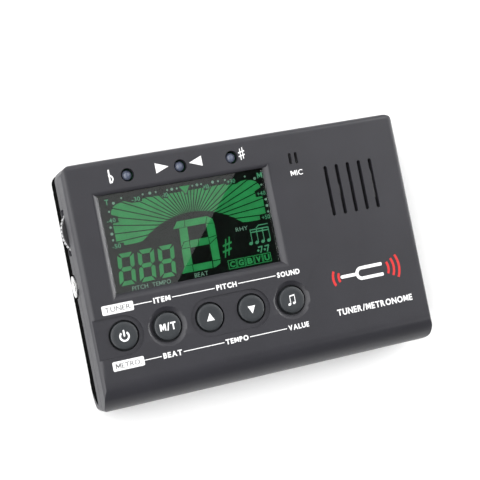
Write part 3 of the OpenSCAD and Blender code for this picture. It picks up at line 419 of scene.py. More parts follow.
def smooth_group(angle):
    """A geometry node group: joins split points and shades smooth up to an angle."""
    group = bpy.data.node_groups.new("smooth_to_%d" % angle, "GeometryNodeTree")
    group.interface.new_socket("Geometry", in_out="INPUT", socket_type="NodeSocketGeometry")
    group.interface.new_socket("Geometry", in_out="OUTPUT", socket_type="NodeSocketGeometry")
    nodes, links = group.nodes, group.links
    first, last = nodes.new("NodeGroupInput"), nodes.new("NodeGroupOutput")
    plain = nodes.new("GeometryNodeRemoveAttribute")
    plain.inputs["Name"].default_value = "custom_normal"
    join = nodes.new("GeometryNodeMergeByDistance")
    join.inputs["Distance"].default_value = 0.002 * MM
    faces = nodes.new("GeometryNodeSetShadeSmooth")
    faces.domain = "FACE"
    edges = nodes.new("GeometryNodeSetShadeSmooth")
    edges.domain = "EDGE"
    bend = nodes.new("GeometryNodeInputMeshEdgeAngle")
    below = nodes.new("FunctionNodeCompare")
    below.operation = "LESS_THAN"
    below.inputs["B"].default_value = math.radians(angle)
    links.new(bend.outputs["Unsigned Angle"], below.inputs["A"])
    links.new(below.outputs["Result"], edges.inputs["Shade Smooth"])
    links.new(first.outputs[0], plain.inputs["Geometry"])
    links.new(plain.outputs["Geometry"], join.inputs["Geometry"])
    links.new(join.outputs["Geometry"], faces.inputs["Geometry"])
    links.new(faces.outputs["Geometry"], edges.inputs["Geometry"])
    links.new(edges.outputs["Geometry"], last.inputs[0])
    return group


SMOOTH = smooth_group(32)


def finish_edges(thing):
    """Smooth shading for a CAD node, with its sharp edges kept."""
    thing.modifiers.new("smooth", "NODES").node_group = SMOOTH
    weighted = thing.modifiers.new("weighted", "WEIGHTED_NORMAL")
    weighted.keep_sharp = True
    weighted.weight = 100


for look, names in LOOKS.items():
    for name in names:
        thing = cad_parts[name]
        if not thing.material_slots:
            thing.data.materials.append(None)
        for slot in thing.material_slots:
            slot.material = MATERIALS[look]
        finish_edges(thing)


# ---- New pieces: prints, key marks and what the display shows ----

def piece(name, mesh, look, body):
    """A new piece that rides on a body and wears one of the looks."""
    thing = bpy.data.objects.new(name, mesh)
    scene.collection.objects.link(thing)
    mesh.materials.clear()
    mesh.materials.append(MATERIALS[look])
    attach(thing, body)


def printed(name, mesh, look="white", body="case"):
    """A piece of printed ink, on the case unless told otherwise."""
    piece(name, mesh, look, body)


def islands(shape):
    """The faces of a mesh in groups that touch."""
    left, groups = set(shape.faces), []
    for seed in list(shape.faces):
        if seed not in left:
            continue
        group, reach = [], [seed]
        left.discard(seed)
        while reach:
            face = reach.pop()
            group.append(face)
            for edge in face.edges:
                for other in edge.link_faces:
                    if other in left:
                        left.discard(other)
                        reach.append(other)
        groups.append(group)
    return groups


def raise_faces(shape, faces, height):
    """Makes a plate out of flat faces."""
    grown = bmesh.ops.extrude_face_region(shape, geom=faces)
    raised = [v for v in grown["geom"] if isinstance(v, bmesh.types.BMVert)]
    bmesh.ops.translate(shape, verts=raised, vec=(0, 0, height))


LAYERS, LAYER_STEP = 8, 0.0004  # plates that cross end at slightly different heights, mm


def plates(shapes, z, thick=INK):
    """A mesh of flat plates: each shape is a list of corners in mm, standing on z mm."""
    shape = bmesh.new()
    for corners in shapes:
        face = shape.faces.new([shape.verts.new((x * MM, y * MM, z * MM)) for x, y in corners])
        face.normal_update()
        if face.normal.z < 0:
            face.normal_flip()
        if len(corners) > 4:
            bmesh.ops.triangulate(shape, faces=[face])
    for layer, face_set in enumerate(islands(shape)):
        raise_faces(shape, face_set, (thick - LAYER_STEP * (layer % LAYERS)) * MM)
    bmesh.ops.recalc_face_normals(shape, faces=list(shape.faces))
    mesh = bpy.data.meshes.new("plates")
    shape.to_mesh(mesh)
    shape.free()
    return mesh


def rectangle(x0, y0, x1, y1):
    """Corners of an upright rectangle."""
    return [(x0, y0), (x1, y0), (x1, y1), (x0, y1)]


def rounded(x0, y0, x1, y1, r, steps=6):
    """Corners of a rectangle whose corners are quarter circles of radius r."""
    corners = ((x1 - r, y1 - r, 0), (x0 + r, y1 - r, 90), (x0 + r, y0 + r, 180), (x1 - r, y0 + r, 270))
    turned = [(x, y, math.radians(a + 90 * k / steps)) for x, y, a in corners for k in range(steps + 1)]
    return [(x + r * math.cos(a), y + r * math.sin(a)) for x, y, a in turned]


def arc_band(x, y, inner, outer, start, end, steps=24):
    """Corners of a band of a ring from start to end, in degrees."""
    angles = [math.radians(start + (end - start) * k / steps) for k in range(steps + 1)]
    return ([(x + outer * math.cos(a), y + outer * math.sin(a)) for a in angles]
            + [(x + inner * math.cos(a), y + inner * math.sin(a)) for a in reversed(angles)])


def oval(x, y, a, b, tilt=0.0, steps=20):
    """Corners of an ellipse with half widths a and b, leaning by tilt degrees."""
    c, s = math.cos(math.radians(tilt)), math.sin(math.radians(tilt))
    turn = [2 * math.pi * k / steps for k in range(steps)]
    return [(x + a * math.cos(t) * c - b * math.sin(t) * s, y + a * math.cos(t) * s + b * math.sin(t) * c)
            for t in turn]


def stroke(x0, y0, x1, y1, w):
    """A straight bar w wide from one point to another."""
    d = math.hypot(x1 - x0, y1 - y0)
    nx, ny = -(y1 - y0) / d * w / 2, (x1 - x0) / d * w / 2
    return [(x0 + nx, y0 + ny), (x1 + nx, y1 + ny), (x1 - nx, y1 - ny), (x0 - nx, y0 - ny)]


# Letters, as shares of the font's size
LETTER_GAP, LETTER_DEPTH = 0.1, 0.1
M_W, M_H, M_STROKE = 0.72, 0.69, 0.105
BOLD, BOLDER = 0.035, 0.042  # how much the strokes are thickened on each side


def letter_m(weight):
    """A capital M as one outline, its strokes getting thicker with weight."""
    leg = (M_STROKE + 2 * weight) / M_W
    fork_y, foot_y, notch_y = 0.40 + leg * 0.62, 0.12, 0.74 - leg
    foot = leg * 0.31
    outline = [(0, 0), (0, 1), (leg * 1.25, 1), (0.5, fork_y), (1 - leg * 1.25, 1), (1, 1), (1, 0),
               (1 - leg, 0), (1 - leg, notch_y), (0.5 + foot, foot_y), (0.5 - foot, foot_y),
               (leg, notch_y), (leg, 0)]
    shape = bmesh.new()
    corners = [shape.verts.new((x * M_W, y * M_H, -LETTER_DEPTH / 2)) for x, y in reversed(outline)]
    face = shape.faces.new(corners)
    face.normal_update()
    bmesh.ops.triangulate(shape, faces=[face])
    raise_faces(shape, list(shape.faces), LETTER_DEPTH)
    bmesh.ops.recalc_face_normals(shape, faces=list(shape.faces))
    mesh = bpy.data.meshes.new("letter_m")
    shape.to_mesh(mesh)
    shape.free()
    return mesh


def one_letter(letter, weight):
    """The mesh of one letter, from Blender's own font."""
    if letter == "M":
        return letter_m(weight)
    curve = bpy.data.curves.new("letter", "FONT")
    curve.body = letter
    curve.offset = weight
    curve.resolution_u = 3
    curve.extrude = LETTER_DEPTH / 2
    temp = bpy.data.objects.new("letter", curve)
    scene.collection.objects.link(temp)
    bpy.context.view_layer.update()
    solid = temp.evaluated_get(bpy.context.evaluated_depsgraph_get())
    mesh = bpy.data.meshes.new_from_object(solid)
    bpy.data.objects.remove(temp)
    return mesh


def lettering(words, centre, height, width, z, weight=0.0, thick=INK):
    """A mesh of plain capitals, height by width mm, centred on a place on the face."""
    pen, meshes = 0.0, []
    for letter in words:
        mesh = one_letter(letter, weight)
        xs = [v.co.x for v in mesh.vertices]
        for v in mesh.vertices:
            v.co.x += pen - min(xs)
        pen += max(xs) - min(xs) + LETTER_GAP
        meshes.append(mesh)
    mesh = merged(*meshes)
    xs, ys = [v.co.x for v in mesh.vertices], [v.co.y for v in mesh.vertices]
    for v in mesh.vertices:
        v.co.x = (centre[0] + ((v.co.x - min(xs)) / (max(xs) - min(xs)) - 0.5) * width) * MM
        v.co.y = (centre[1] + ((v.co.y - min(ys)) / (max(ys) - min(ys)) - 0.5) * height) * MM
        v.co.z = (z + (thick if v.co.z > 0 else 0)) * MM
    return mesh


def merged(*meshes):
    """One mesh out of several."""
    shape = bmesh.new()
    for mesh in meshes:
        shape.from_mesh(mesh)
        bpy.data.meshes.remove(mesh)
    whole = bpy.data.meshes.new("merged")
    shape.to_mesh(whole)
    shape.free()
    return whole


def centre_of(node):
    """The middle of a CAD node on the face, in mm."""
    low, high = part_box(node)
    return (low.x + high.x) / 2 / MM, (low.y + high.y) / 2 / MM


def beamed_notes(x, y, height, gap, head, stem):
    """Two notes under one beam, their heads gap apart and the second one higher."""
    top, rise = y + height, head * 0.5
    shapes = [oval(x + k * gap, y + rise * k, head * 1.15, head * 0.85, 20) for k in (0, 1)]
    for k in (0, 1):
        sx = x + k * gap + head * 0.95
        shapes.append(rectangle(sx - stem / 2, y + rise * k, sx + stem / 2, top + rise * k))
    x0 = x + head * 0.95 - stem / 2
    x1, beam = x0 + gap + stem, stem * 2
    shapes.append([(x0, top), (x1, top + rise), (x1, top + rise - beam), (x0, top - beam)])
    return shapes


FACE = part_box("front_shell")[1].z / MM
SEAT = FACE - 0.008  # prints sit a hair into the face

# Beside the lamps: flat sign, the two pointers of the lamp that says in tune, sharp sign
flat_x, lamp_y = centre_of("flat_lamp")
tune_x, _ = centre_of("in_tune_lamp")
sharp_x, _ = centre_of("sharp_lamp")


def flat_sign(x, y, h):
    """A musical flat: a tall stem with a bowl at its foot."""
    w = h * 0.12  # its stem
    return [rectangle(x - h * 0.22, y - h / 2, x - h * 0.22 + w, y + h / 2),
            arc_band(x - h * 0.2, y - h * 0.2, h * 0.21, h * 0.32, -62, 100),
            stroke(x - h * 0.2, y - h * 0.47, x + h * 0.02, y - h * 0.43, w)]


def sharp_sign(x, y, h, w):
    """A musical sharp: two uprights and two leaning bars."""
    return [rectangle(x - w * 0.26, y - h / 2, x - w * 0.12, y + h * 0.42),
            rectangle(x + w * 0.14, y - h * 0.42, x + w * 0.28, y + h / 2),
            stroke(x - w / 2, y + h * 0.09, x + w / 2, y + h * 0.21, h * 0.1),
            stroke(x - w / 2, y - h * 0.21, x + w / 2, y - h * 0.09, h * 0.1)]


printed("flat_mark", plates(flat_sign(flat_x - 5.0, lamp_y + 0.4, 4.1), SEAT))
printed("sharp_mark", plates(sharp_sign(sharp_x + 3.4, lamp_y + 0.6, 3.9, 2.1), SEAT))
POINTER_L, POINTER_H = 4.2, 3.2
pointers, pointer_y = [], lamp_y + 0.5
for side, tip_x in ((-1, tune_x - 3.75), (1, tune_x + 2.9)):
    root_x, reach = tip_x + side * POINTER_L, side * POINTER_H / 2
    pointers.append([(tip_x, pointer_y), (root_x, pointer_y - reach), (root_x, pointer_y + reach)])
printed("in_tune_pointers", plates(pointers, SEAT))

mic_x, mic_y = centre_of("mic_boot")
printed("mic_label", lettering("MIC", (mic_x + 0.25, mic_y - 4.65), 1.7, 4.1, SEAT, 0.01))

# The two legends over and under the keys: a tag, a rule and the words on it
KEYS = {name: centre_of("key_" + name) for name in ("power", "mode", "up", "down", "sound")}
key_y = KEYS["power"][1]
LEGENDS = {  # its tag, its place up the face, and each word with its middle and its width
    "tuner": ("TUNER", key_y + 8.4, (("ITEM", -32.6, 5.4), ("PITCH", -11.65, 6.7), ("SOUND", 9.15, 7.7))),
    "metro": ("METRO.", key_y - 8.52, (("BEAT", -32.6, 6.0), ("TEMPO", -11.65, 7.5), ("VALUE", 9.1, 7.0))),
}
TAG_X0, TAG_X1 = KEYS["power"][0] - 5.25, KEYS["power"][0] + 4.55
TAG_H, WORD_H, RULE_W, WORD_GAP = 2.85, 1.7, 0.26, 0.5
for name, (tag, rule_y, words) in LEGENDS.items():
    tag_y = rule_y - 0.02
    tag_shape = rounded(TAG_X0, tag_y - TAG_H / 2, TAG_X1, tag_y + TAG_H / 2, 0.45)
    printed(name + "_tag", plates([tag_shape], SEAT))
    letters = lettering(tag, ((TAG_X0 + TAG_X1) / 2, tag_y), 1.5, 8.0, SEAT + INK, thick=0.02)
    piece(name + "_tag_letters", letters, "dark", "case")
    marks, stop = [], TAG_X1
    for word, x, w in words:
        rule = rectangle(stop, rule_y - RULE_W / 2, x - w / 2 - WORD_GAP, rule_y + RULE_W / 2)
        marks.append(plates([rule], SEAT))
        marks.append(lettering(word, (x, rule_y), WORD_H, w, SEAT, BOLDER))
        stop = x + w / 2 + WORD_GAP
    printed(name + "_legend", merged(*marks))

# A plain emblem of a tuning fork and its waves, and what the thing is
speaker_x, _ = centre_of("speaker_gasket")
mark_x, mark_y, PURPOSE_Y = speaker_x - 0.2, -11.9, -22.75


def fork(x, y, l, w):
    """A tuning fork lying down, its prongs to the right."""
    bar = w * 0.24
    return [rounded(x - l * 0.5, y - bar / 2, x - w / 2 + bar * 0.6, y + bar / 2, bar * 0.45),
            arc_band(x, y, w / 2 - bar, w / 2, 90, 270),
            rounded(x - 0.01, y + w / 2 - bar, x + l * 0.5, y + w / 2, bar * 0.3),
            rounded(x - 0.01, y - w / 2, x + l * 0.5, y - w / 2 + bar, bar * 0.3)]


printed("emblem_fork", plates(fork(mark_x - 2.4, mark_y, 15.0, 4.4), SEAT))
WAVE_HALF, WAVE_SPREAD = 0.4, 28
waves = []
for middle, foot, radii in ((0, mark_x + 3.2, (4.0, 5.9, 7.8)), (180, mark_x - 7.6, (3.0, 4.9))):
    for r in radii:
        waves.append(arc_band(foot, mark_y, r - WAVE_HALF, r + WAVE_HALF,
                              middle - WAVE_SPREAD, middle + WAVE_SPREAD))
printed("emblem_waves", plates(waves, SEAT), "red")
printed("purpose_label", lettering("TUNER/METRONOME", (mark_x, PURPOSE_Y), 2.1, 26.8, SEAT, BOLD))

# Marks on the key caps
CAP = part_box("key_power")[1].z / MM
CAP_Z, CAP_INK = CAP - 0.11, 0.095


def key_mark(name, mesh):
    """A mark that moves with its key."""
    printed("mark_" + name, mesh, body=name + "_key")


x, y = KEYS["power"]
key_mark("power", plates([arc_band(x, y - 0.25, 1.05, 1.62, 128, 412, 40),
                          rounded(x - 0.26, y - 0.3, x + 0.26, y + 1.7, 0.2)], CAP_Z, CAP_INK))
x, y = KEYS["mode"]
key_mark("mode", lettering("M/T", (x, y - 0.1), 2.4, 5.1, CAP_Z, BOLD, CAP_INK))
x, y = KEYS["up"]
key_mark("up", plates([[(x - 1.25, y - 1.1), (x + 1.25, y - 1.1), (x, y + 1.3)]], CAP_Z, CAP_INK))
x, y = KEYS["down"]
key_mark("down", plates([[(x - 1.25, y + 0.8), (x, y - 1.6), (x + 1.25, y + 0.8)]], CAP_Z, CAP_INK))
x, y = KEYS["sound"]
key_mark("sound", plates(beamed_notes(x - 1.1, y - 1.3, 2.7, 1.6, 0.45, 0.2), CAP_Z, CAP_INK))

# ---- What the display shows ----

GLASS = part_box("lcd_panel")[1].z / MM + 0.02
VIEW_LOW, VIEW_HIGH = (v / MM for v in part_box("display_window"))
view_x = (VIEW_LOW.x + VIEW_HIGH.x) / 2
view_y = (VIEW_LOW.y + VIEW_HIGH.y) / 2
SLANT = 0.1  # lean of the figures, sideways per height


def shown(name, mesh, look="green"):
    """Something that the display shows."""
    piece("display_" + name, mesh, look, "case")


def segments(x, y, w, h, t, gap):
    """Corners of the bars of a leaning figure, an eight, whose lower left corner is x, y."""
    m, cut = h / 2, t * 0.35
    over, under = m + t / 2, m - t / 2
    bars = {
        "a": [(cut, h), (w - cut, h), (w - t, h - t), (t, h - t)],
        "d": [(cut, 0), (w - cut, 0), (w - t, t), (t, t)],
        "g": [(t * 0.6, m), (t, over), (w - t, over), (w - t * 0.6, m), (w - t, under), (t, under)],
        "f": [(0, h - cut), (t, h - t), (t, over), (t * 0.5, m + gap), (0, over)],
        "b": [(w, h - cut), (w - t, h - t), (w - t, over), (w - t * 0.5, m + gap), (w, over)],
        "e": [(0, cut), (t, t), (t, under), (t * 0.5, m - gap), (0, under)],
        "c": [(w, cut), (w - t, t), (w - t, under), (w - t * 0.5, m - gap), (w, under)],
    }
    out = []
    for key in "abcdefg":
        xs, ys = zip(*bars[key])
        cx, cy = sum(xs) / len(xs), sum(ys) / len(ys)
        shrink_x, shrink_y = 1 - gap / (max(xs) - min(xs)), 1 - gap / (max(ys) - min(ys))
        fitted = [(cx + (px - cx) * shrink_x, cy + (py - cy) * shrink_y) for px, py in bars[key]]
        out.append([(x + px + py * SLANT, y + py) for px, py in fitted])
    return out


# The fan meter: rays from a focus, between an arc and a rounded frame with room for its numbers
METER_X = view_x + 0.9
FOCUS = (METER_X, view_y + 1.5)
ARC_CENTRE, ARC_R = (METER_X, view_y - 19.15), 24.6
METER_HALF, METER_TOP, METER_FOOT, METER_CORNER = 24.5, view_y + 12.15, view_y - 1.0, 4.2
METER_SHOULDER = 3.4
RAY_STEP, RAY_LIMIT, RAY_LEAST = 0.05, 40, 0.3
RAYS, RAY_GAP = 33, 0.33
NUMBER_H = 1.35
NUMBERS = [  # text, place from the meter's middle and from the view's middle, and half the room kept for it
    ("-50", -24.7, -0.75, 2.4), ("-40", -24.8, 7.15, 2.2), ("-30", -16.0, 12.3, 1.9),
    ("-10", -6.7, 12.0, 0.9), ("+10", 6.8, 12.3, 0.9), ("+30", 15.2, 12.6, 1.9),
    ("+40", 24.3, 7.2, 2.0), ("+50", 24.3, -0.4, 2.0),
]


def in_meter(x, y):
    """Whether a place is inside the fan's frame, clear of the numbers."""
    dx, dy = abs(x - METER_X), METER_TOP - y
    if dx > METER_HALF or dy < 0 or y < METER_FOOT:
        return False
    over, under = dx - METER_HALF + METER_CORNER, METER_SHOULDER - dy
    if over > 0 and under > 0 and (over / METER_CORNER) ** 2 + (under / METER_SHOULDER) ** 2 > 1:
        return False
    for _, nx, ny, room in NUMBERS:
        if abs(x - METER_X - nx) < room and abs(y - view_y - ny) < NUMBER_H / 2 + 0.3:
            return False
    return True


def ray_reach(angle):
    """Where a ray from the focus leaves the arc, and where it leaves the frame."""
    dx, dy = math.cos(angle), math.sin(angle)
    fx, fy = FOCUS[0] - ARC_CENTRE[0], FOCUS[1] - ARC_CENTRE[1]
    b = fx * dx + fy * dy
    near = -b + math.sqrt(b * b - (fx * fx + fy * fy - ARC_R ** 2))
    far = near
    while far < RAY_LIMIT and in_meter(FOCUS[0] + (far + RAY_STEP) * dx, FOCUS[1] + (far + RAY_STEP) * dy):
        far += RAY_STEP
    return near, far


def wedge(start, end, steps=10):
    """Corners of one ray's wedge between two angles, cut parallel to its sides."""
    inner, outer = [], []
    mid = (start + end) / 2
    along, across = (math.cos(mid), math.sin(mid)), (-math.sin(mid), math.cos(mid))
    for k in range(steps + 1):
        near, far = ray_reach(start + (end - start) * k / steps)
        if far - near < RAY_LEAST:
            continue
        for r, row in ((near, inner), (far, outer)):
            half = max(r * math.tan((end - start) / 2) - RAY_GAP / 2, 0.03)
            off = half * (k / steps - 0.5) * 2
            row.append(tuple(f + r * a + off * c for f, a, c in zip(FOCUS, along, across)))
    return outer + inner[::-1]


SWEEP_LOW, SWEEP_HIGH = math.radians(-8.5), math.radians(188.5)
fan = []
for i in range(RAYS):
    a0 = SWEEP_LOW + (SWEEP_HIGH - SWEEP_LOW) * i / RAYS
    a1 = SWEEP_LOW + (SWEEP_HIGH - SWEEP_LOW) * (i + 1) / RAYS
    corners = wedge(a0, a1)
    if len(corners) >= 6:
        fan.append(corners)
shown("meter", plates(fan, GLASS))

numbers = []
for text, nx, ny, _ in NUMBERS:
    number_w = 2.7 if abs(nx) > 10 else 1.9
    numbers.append(lettering(text, (METER_X + nx, view_y + ny), NUMBER_H, number_w, GLASS, 0.01))
shown("scale_numbers", merged(*numbers), "label")

# Dots along the scale and down its two ends, some of them larger
DOT_TOP = view_y + 13.35
SMALL, LARGE = 0.3, 0.45
ROW_DOTS = ((-20.4, SMALL), (-13.6, SMALL), (-11.3, LARGE), (-9.4, SMALL), (-5.7, SMALL), (-4.2, LARGE),
            (-2.6, SMALL), (2.5, SMALL), (4.0, LARGE), (5.4, SMALL), (9.2, LARGE), (11.0, SMALL),
            (13.3, SMALL), (20.0, SMALL))
END_DOTS = ((23.1, 12.2, LARGE), (24.9, 9.9, 0.32), (25.4, 5.1, 0.38), (25.4, 3.1, LARGE), (25.4, 1.2, 0.34))
dots = [oval(METER_X + dx, DOT_TOP, r, r) for dx, r in ROW_DOTS]
for side in (-1, 1):
    dots += [oval(METER_X + side * dx, view_y + dy, r, r) for dx, dy, r in END_DOTS]
shown("scale_dots", plates(dots, GLASS), "dim")

# The pointer at the middle of the scale, and the letters at its two ends
NOTCH_X, NOTCH_TOP, NOTCH_TIP, NOTCH_HALF = METER_X - 0.05, view_y + 13.7, view_y + 11.25, 1.7
notch = [(NOTCH_X - NOTCH_HALF, NOTCH_TOP), (NOTCH_X + NOTCH_HALF, NOTCH_TOP), (NOTCH_X, NOTCH_TIP)]
shown("middle_pointer", plates([notch], GLASS + INK))
RIM_OUT, RIM_DOWN, RIM_W = NOTCH_HALF + 0.2, 0.3, 0.28
rims = [stroke(NOTCH_X + side * RIM_OUT, NOTCH_TOP, NOTCH_X, NOTCH_TIP - RIM_DOWN, RIM_W) for side in (-1, 1)]
shown("middle_rim", plates(rims, GLASS + 2 * INK), "deep")
ends = [lettering("T", (METER_X - 25.1, view_y + 12.8), 1.7, 1.2, GLASS, 0.02),
        lettering("M", (METER_X + 24.9, view_y + 12.95), 1.7, 1.7, GLASS, 0.02)]
shown("end_letters", merged(*ends), "label")

# Three figures, and the display's small labels
FIGURE_W, FIGURE_H, FIGURE_T, FIGURE_Y = 5.35, 9.9, 1.45, view_y - 13.05
figures = []
for i in range(3):
    figures += segments(view_x - 25.25 + 6.4 * i, FIGURE_Y, FIGURE_W, FIGURE_H, FIGURE_T, 0.16)
shown("figures", plates(figures, GLASS))
LABEL_Y = FIGURE_Y - 1.25
words = [lettering("PITCH", (view_x - 19.1, LABEL_Y), 1.3, 5.0, GLASS),
         lettering("TEMPO", (view_x - 12.25, LABEL_Y), 1.3, 5.9, GLASS),
         lettering("BEAT", (view_x + 0.7, LABEL_Y + 0.2), 1.3, 4.4, GLASS),
         lettering("RHY", (view_x + 16.5, view_y - 2.65), 1.25, 4.0, GLASS)]
shown("labels", merged(*words), "dim")

# The big note figure: an eight with a rounded right side and slanted inner cuts
NOTE_X, NOTE_Y, NOTE_W, NOTE_H, NOTE_T, NOTE_BAR = view_x - 4.35, view_y - 12.85, 12.3, 16.1, 2.65, 2.1


def note_bars():
    """Corners of its bars: those of the top, the right side, the foot, the left side and the middle."""
    x, foot, g, cut = NOTE_X, NOTE_Y, 0.14, 1.5
    top, mid = foot + NOTE_H, foot + NOTE_H * 0.53
    under, over = top - NOTE_BAR, foot + NOTE_BAR
    far, near = x + NOTE_W, x + NOTE_W - NOTE_T
    low, high = mid - 1.1, mid + 1.1
    return [
        [(x - 1.0, under), (x + 2.7, under), (x + 3.0, top), (x + 0.6, top)],
        [(x + 2.9, under), (near - g, under), (near + 0.7, top), (x + 3.2, top)],
        [(near + g, under), (far - 0.05, under - 0.4), (far - 0.25, top - 1.1), (far - cut, top - 0.25),
         (near + 0.9, top)],
        [(near, under - g), (far, under - 0.5), (far, mid + 1.3), (near, mid + 0.9)],
        [(near, mid + 0.7), (far, high), (far, mid + 0.7), (near + 0.1, mid - 0.9)],
        [(near, mid - 1.2), (far - 0.1, mid + 0.4), (far - 0.3, over + g), (near - 0.1, over + g)],
        [(near - 0.1, over - g), (far - 0.3, over - g), (far - 0.6, foot + 0.9),
         (far - cut - 0.6, foot + 0.1), (near - 0.3, foot)],
        [(x + 2.9, over), (near - 0.3 - g, over), (near - 0.5 - g, foot), (x + 2.9, foot)],
        [(x - 1.0, foot), (x + 2.7, foot), (x + 2.7, over), (x + 0.3, over)],
        [(x + 0.2, over + g), (x + 2.9, over + g), (x + 3.1, low), (x + 0.4, low)],
        [(x + 0.4, mid - 0.9), (x + 3.1, mid - 0.9), (x + 3.2, mid + 1.0), (x + 1.7, mid + 0.9)],
        [(x + 0.5, mid - 0.4), (x + 1.5, high), (x + 3.3, mid + 1.2), (x + 3.5, under - g),
         (x + 0.9, under - g)],
        [(x + 3.3, low), (x + 5.9, low), (x + 6.2, high), (x + 3.5, high)],
        [(x + 6.1, low), (near - 0.15, low), (near - 0.15, high), (x + 6.4, high)],
    ]


shown("note_figure", plates(note_bars(), GLASS))
SHARP_X, SHARP_Y, SHARP_LEAN = view_x + 10.65, view_y - 7.45, 0.22
leaning = [[(px + (py - SHARP_Y) * SHARP_LEAN, py) for px, py in bar]
           for bar in sharp_sign(SHARP_X, SHARP_Y, 6.2, 2.9)]
shown("note_sharp", plates(leaning, GLASS))

# The rhythm picture, and the row of boxes with the instruments' letters
RHYTHM_X, RHYTHM_Y, NOTE_GAP = view_x + 18.6, view_y - 7.75, 2.03
STEM_X0, STEM_X1, BEAM_W = RHYTHM_X + 0.4, RHYTHM_X + 0.64, 0.36
beats = []
for k in range(4):
    beats.append(oval(RHYTHM_X + k * NOTE_GAP, RHYTHM_Y, 0.62, 0.5, 20))
    beats.append(rectangle(STEM_X0 + k * NOTE_GAP, RHYTHM_Y, STEM_X1 + k * NOTE_GAP, RHYTHM_Y + 4.1))
for beam_y in (RHYTHM_Y + 4.0, RHYTHM_Y + 3.2):
    beats.append(rectangle(STEM_X0, beam_y, STEM_X1 + 3 * NOTE_GAP, beam_y + BEAM_W))
beats.append(stroke(RHYTHM_X + 2.6, RHYTHM_Y + 4.5, RHYTHM_X + 3.6, RHYTHM_Y + 5.25, 0.25))
beats.append(rectangle(RHYTHM_X + 3.5, RHYTHM_Y + 5.1, RHYTHM_X + 6.7, RHYTHM_Y + 5.4))
shown("rhythm", plates(beats, GLASS), "label")
rests = []
for k in range(2):
    rx, ry = RHYTHM_X + 2.0 + k * 2.2, RHYTHM_Y - 2.5
    rests += [stroke(rx, ry + 0.9, rx + 1.5, ry + 1.05, 0.4),
              stroke(rx + 1.4, ry + 1.1, rx + 0.6, ry - 0.9, 0.4),
              oval(rx - 0.1, ry - 0.1, 0.36, 0.36)]
shown("rests", plates(rests, GLASS), "label")

BOX_W, BOX_H, BOX_X, BOX_Y = 2.92, 2.85, view_x + 9.85, view_y - 14.4
BOX_GAP, BOX_LINE = 0.14, 0.22
boxes, box_letters = [], []
for i, letter in enumerate("CGBVU"):
    x0, y0, w = BOX_X + i * BOX_W, BOX_Y, BOX_LINE
    x1, y1 = x0 + BOX_W - BOX_GAP, y0 + BOX_H
    boxes += [rectangle(x0, y0, x1, y0 + w), rectangle(x0, y1 - w, x1, y1),
              rectangle(x0, y0 + w, x0 + w, y1 - w), rectangle(x1 - w, y0 + w, x1, y1 - w)]
    box_letters.append(lettering(letter, ((x0 + x1) / 2, (y0 + y1) / 2), 1.9, 1.75, GLASS, 0.05))
shown("instrument_boxes", merged(plates(boxes, GLASS), *box_letters))

# ---- Floor, lights and camera ----

FLOOR_HALF, FLOOR_DROP = 1.6, 0.2 * MM
floor_mesh = bpy.data.meshes.new("floor")
floor_corners = [(x, y, 0) for x, y in rectangle(-FLOOR_HALF, -FLOOR_HALF, FLOOR_HALF, FLOOR_HALF)]
floor_mesh.from_pydata(floor_corners, [], [(0, 1, 2, 3)])
floor = bpy.data.objects.new("floor", floor_mesh)
scene.collection.objects.link(floor)
floor.location.z = -FLOOR_DROP
paper = Shader("pale_paper", rough=0.9)
paper.put(paper.ramp(paper.noise(300, 2), (0.3, 0.86), (0.7, 0.88)), "Base Color")
floor_mesh.materials.append(paper.mat)

world = bpy.data.worlds.new("studio")
scene.world = world
world.use_nodes = True
sky = world.node_tree.nodes["Background"]
sky.inputs["Color"].default_value = (1, 1, 1, 1)
sky.inputs["Strength"].default_value = 0.025


AIM = Vector((0, 0, 0.01))  # the middle of the case


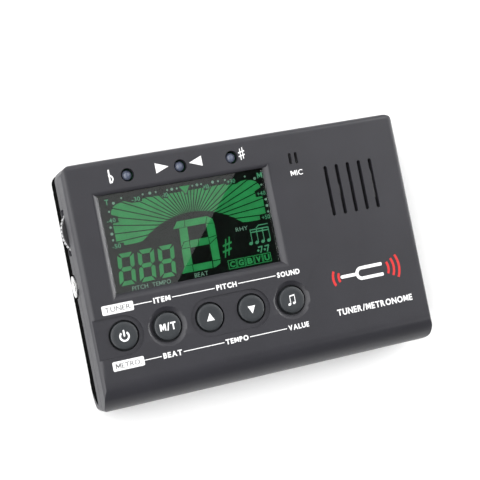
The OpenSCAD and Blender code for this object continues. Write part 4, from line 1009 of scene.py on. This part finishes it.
def softbox(name, place, size, power, turn=None):
    """A rectangular lamp at place, in metres, facing the case, or facing down and turned."""
    data = bpy.data.lights.new(name, "AREA")
    data.shape = "RECTANGLE"
    data.size, data.size_y = size
    data.energy = power
    lamp = bpy.data.objects.new(name, data)
    scene.collection.objects.link(lamp)
    lamp.location = place
    if turn is None:
        lamp.rotation_euler = (AIM - Vector(place)).to_track_quat("-Z", "Y").to_euler()
    else:
        lamp.rotation_euler = (0, 0, math.radians(turn))


# The overhead box shows in the left part of the window, up to its slanting edge
BOX_EDGE, BOX_TURN, BOX_SIZE = Vector((0.292, 0.049, 1.0)), 49.7, (0.62, 0.40)
inward = Vector((-math.sin(math.radians(BOX_TURN)), math.cos(math.radians(BOX_TURN)), 0))
softbox("overhead", BOX_EDGE + inward * BOX_SIZE[1] / 2, BOX_SIZE, 0.31, turn=BOX_TURN)
softbox("right_key", (0.85, 0.5, 0.8), (1.0, 1.0), 8.0)
softbox("right_low", (1.1, 0.0, 0.25), (1.0, 0.4), 15.0)
softbox("left_fill", (-1.0, 0.15, 0.8), (2.4, 2.2), 60.0)
softbox("back_fill", (0.0, 1.1, 0.6), (1.2, 0.6), 4.0)

CAMERA_TARGET = Vector((-4.4, 5.9, 20.0)) * MM
CAMERA_DISTANCE = 368.7 * MM
CAMERA_LEAN, CAMERA_SIDE, CAMERA_ROLL = (math.radians(a) for a in (18.77, 183.49, 11.32))
aside = math.sin(CAMERA_LEAN)
back = Vector((aside * math.cos(CAMERA_SIDE), aside * math.sin(CAMERA_SIDE), math.cos(CAMERA_LEAN)))
level = Vector((0, 1, 0)).cross(back).normalized()
upright = back.cross(level)
right = math.cos(CAMERA_ROLL) * level - math.sin(CAMERA_ROLL) * upright
up = math.cos(CAMERA_ROLL) * upright + math.sin(CAMERA_ROLL) * level
camera_data = bpy.data.cameras.new("camera")
camera_data.lens = 89.0
camera_data.sensor_width = 36.0
camera_data.clip_start, camera_data.clip_end = 0.01, 10
camera = bpy.data.objects.new("camera", camera_data)
scene.collection.objects.link(camera)
camera.matrix_world = Matrix.LocRotScale(CAMERA_TARGET + back * CAMERA_DISTANCE,
                                         Matrix((right, up, back)).transposed(), None)
scene.camera = camera
scene.view_settings.view_transform = "Standard"
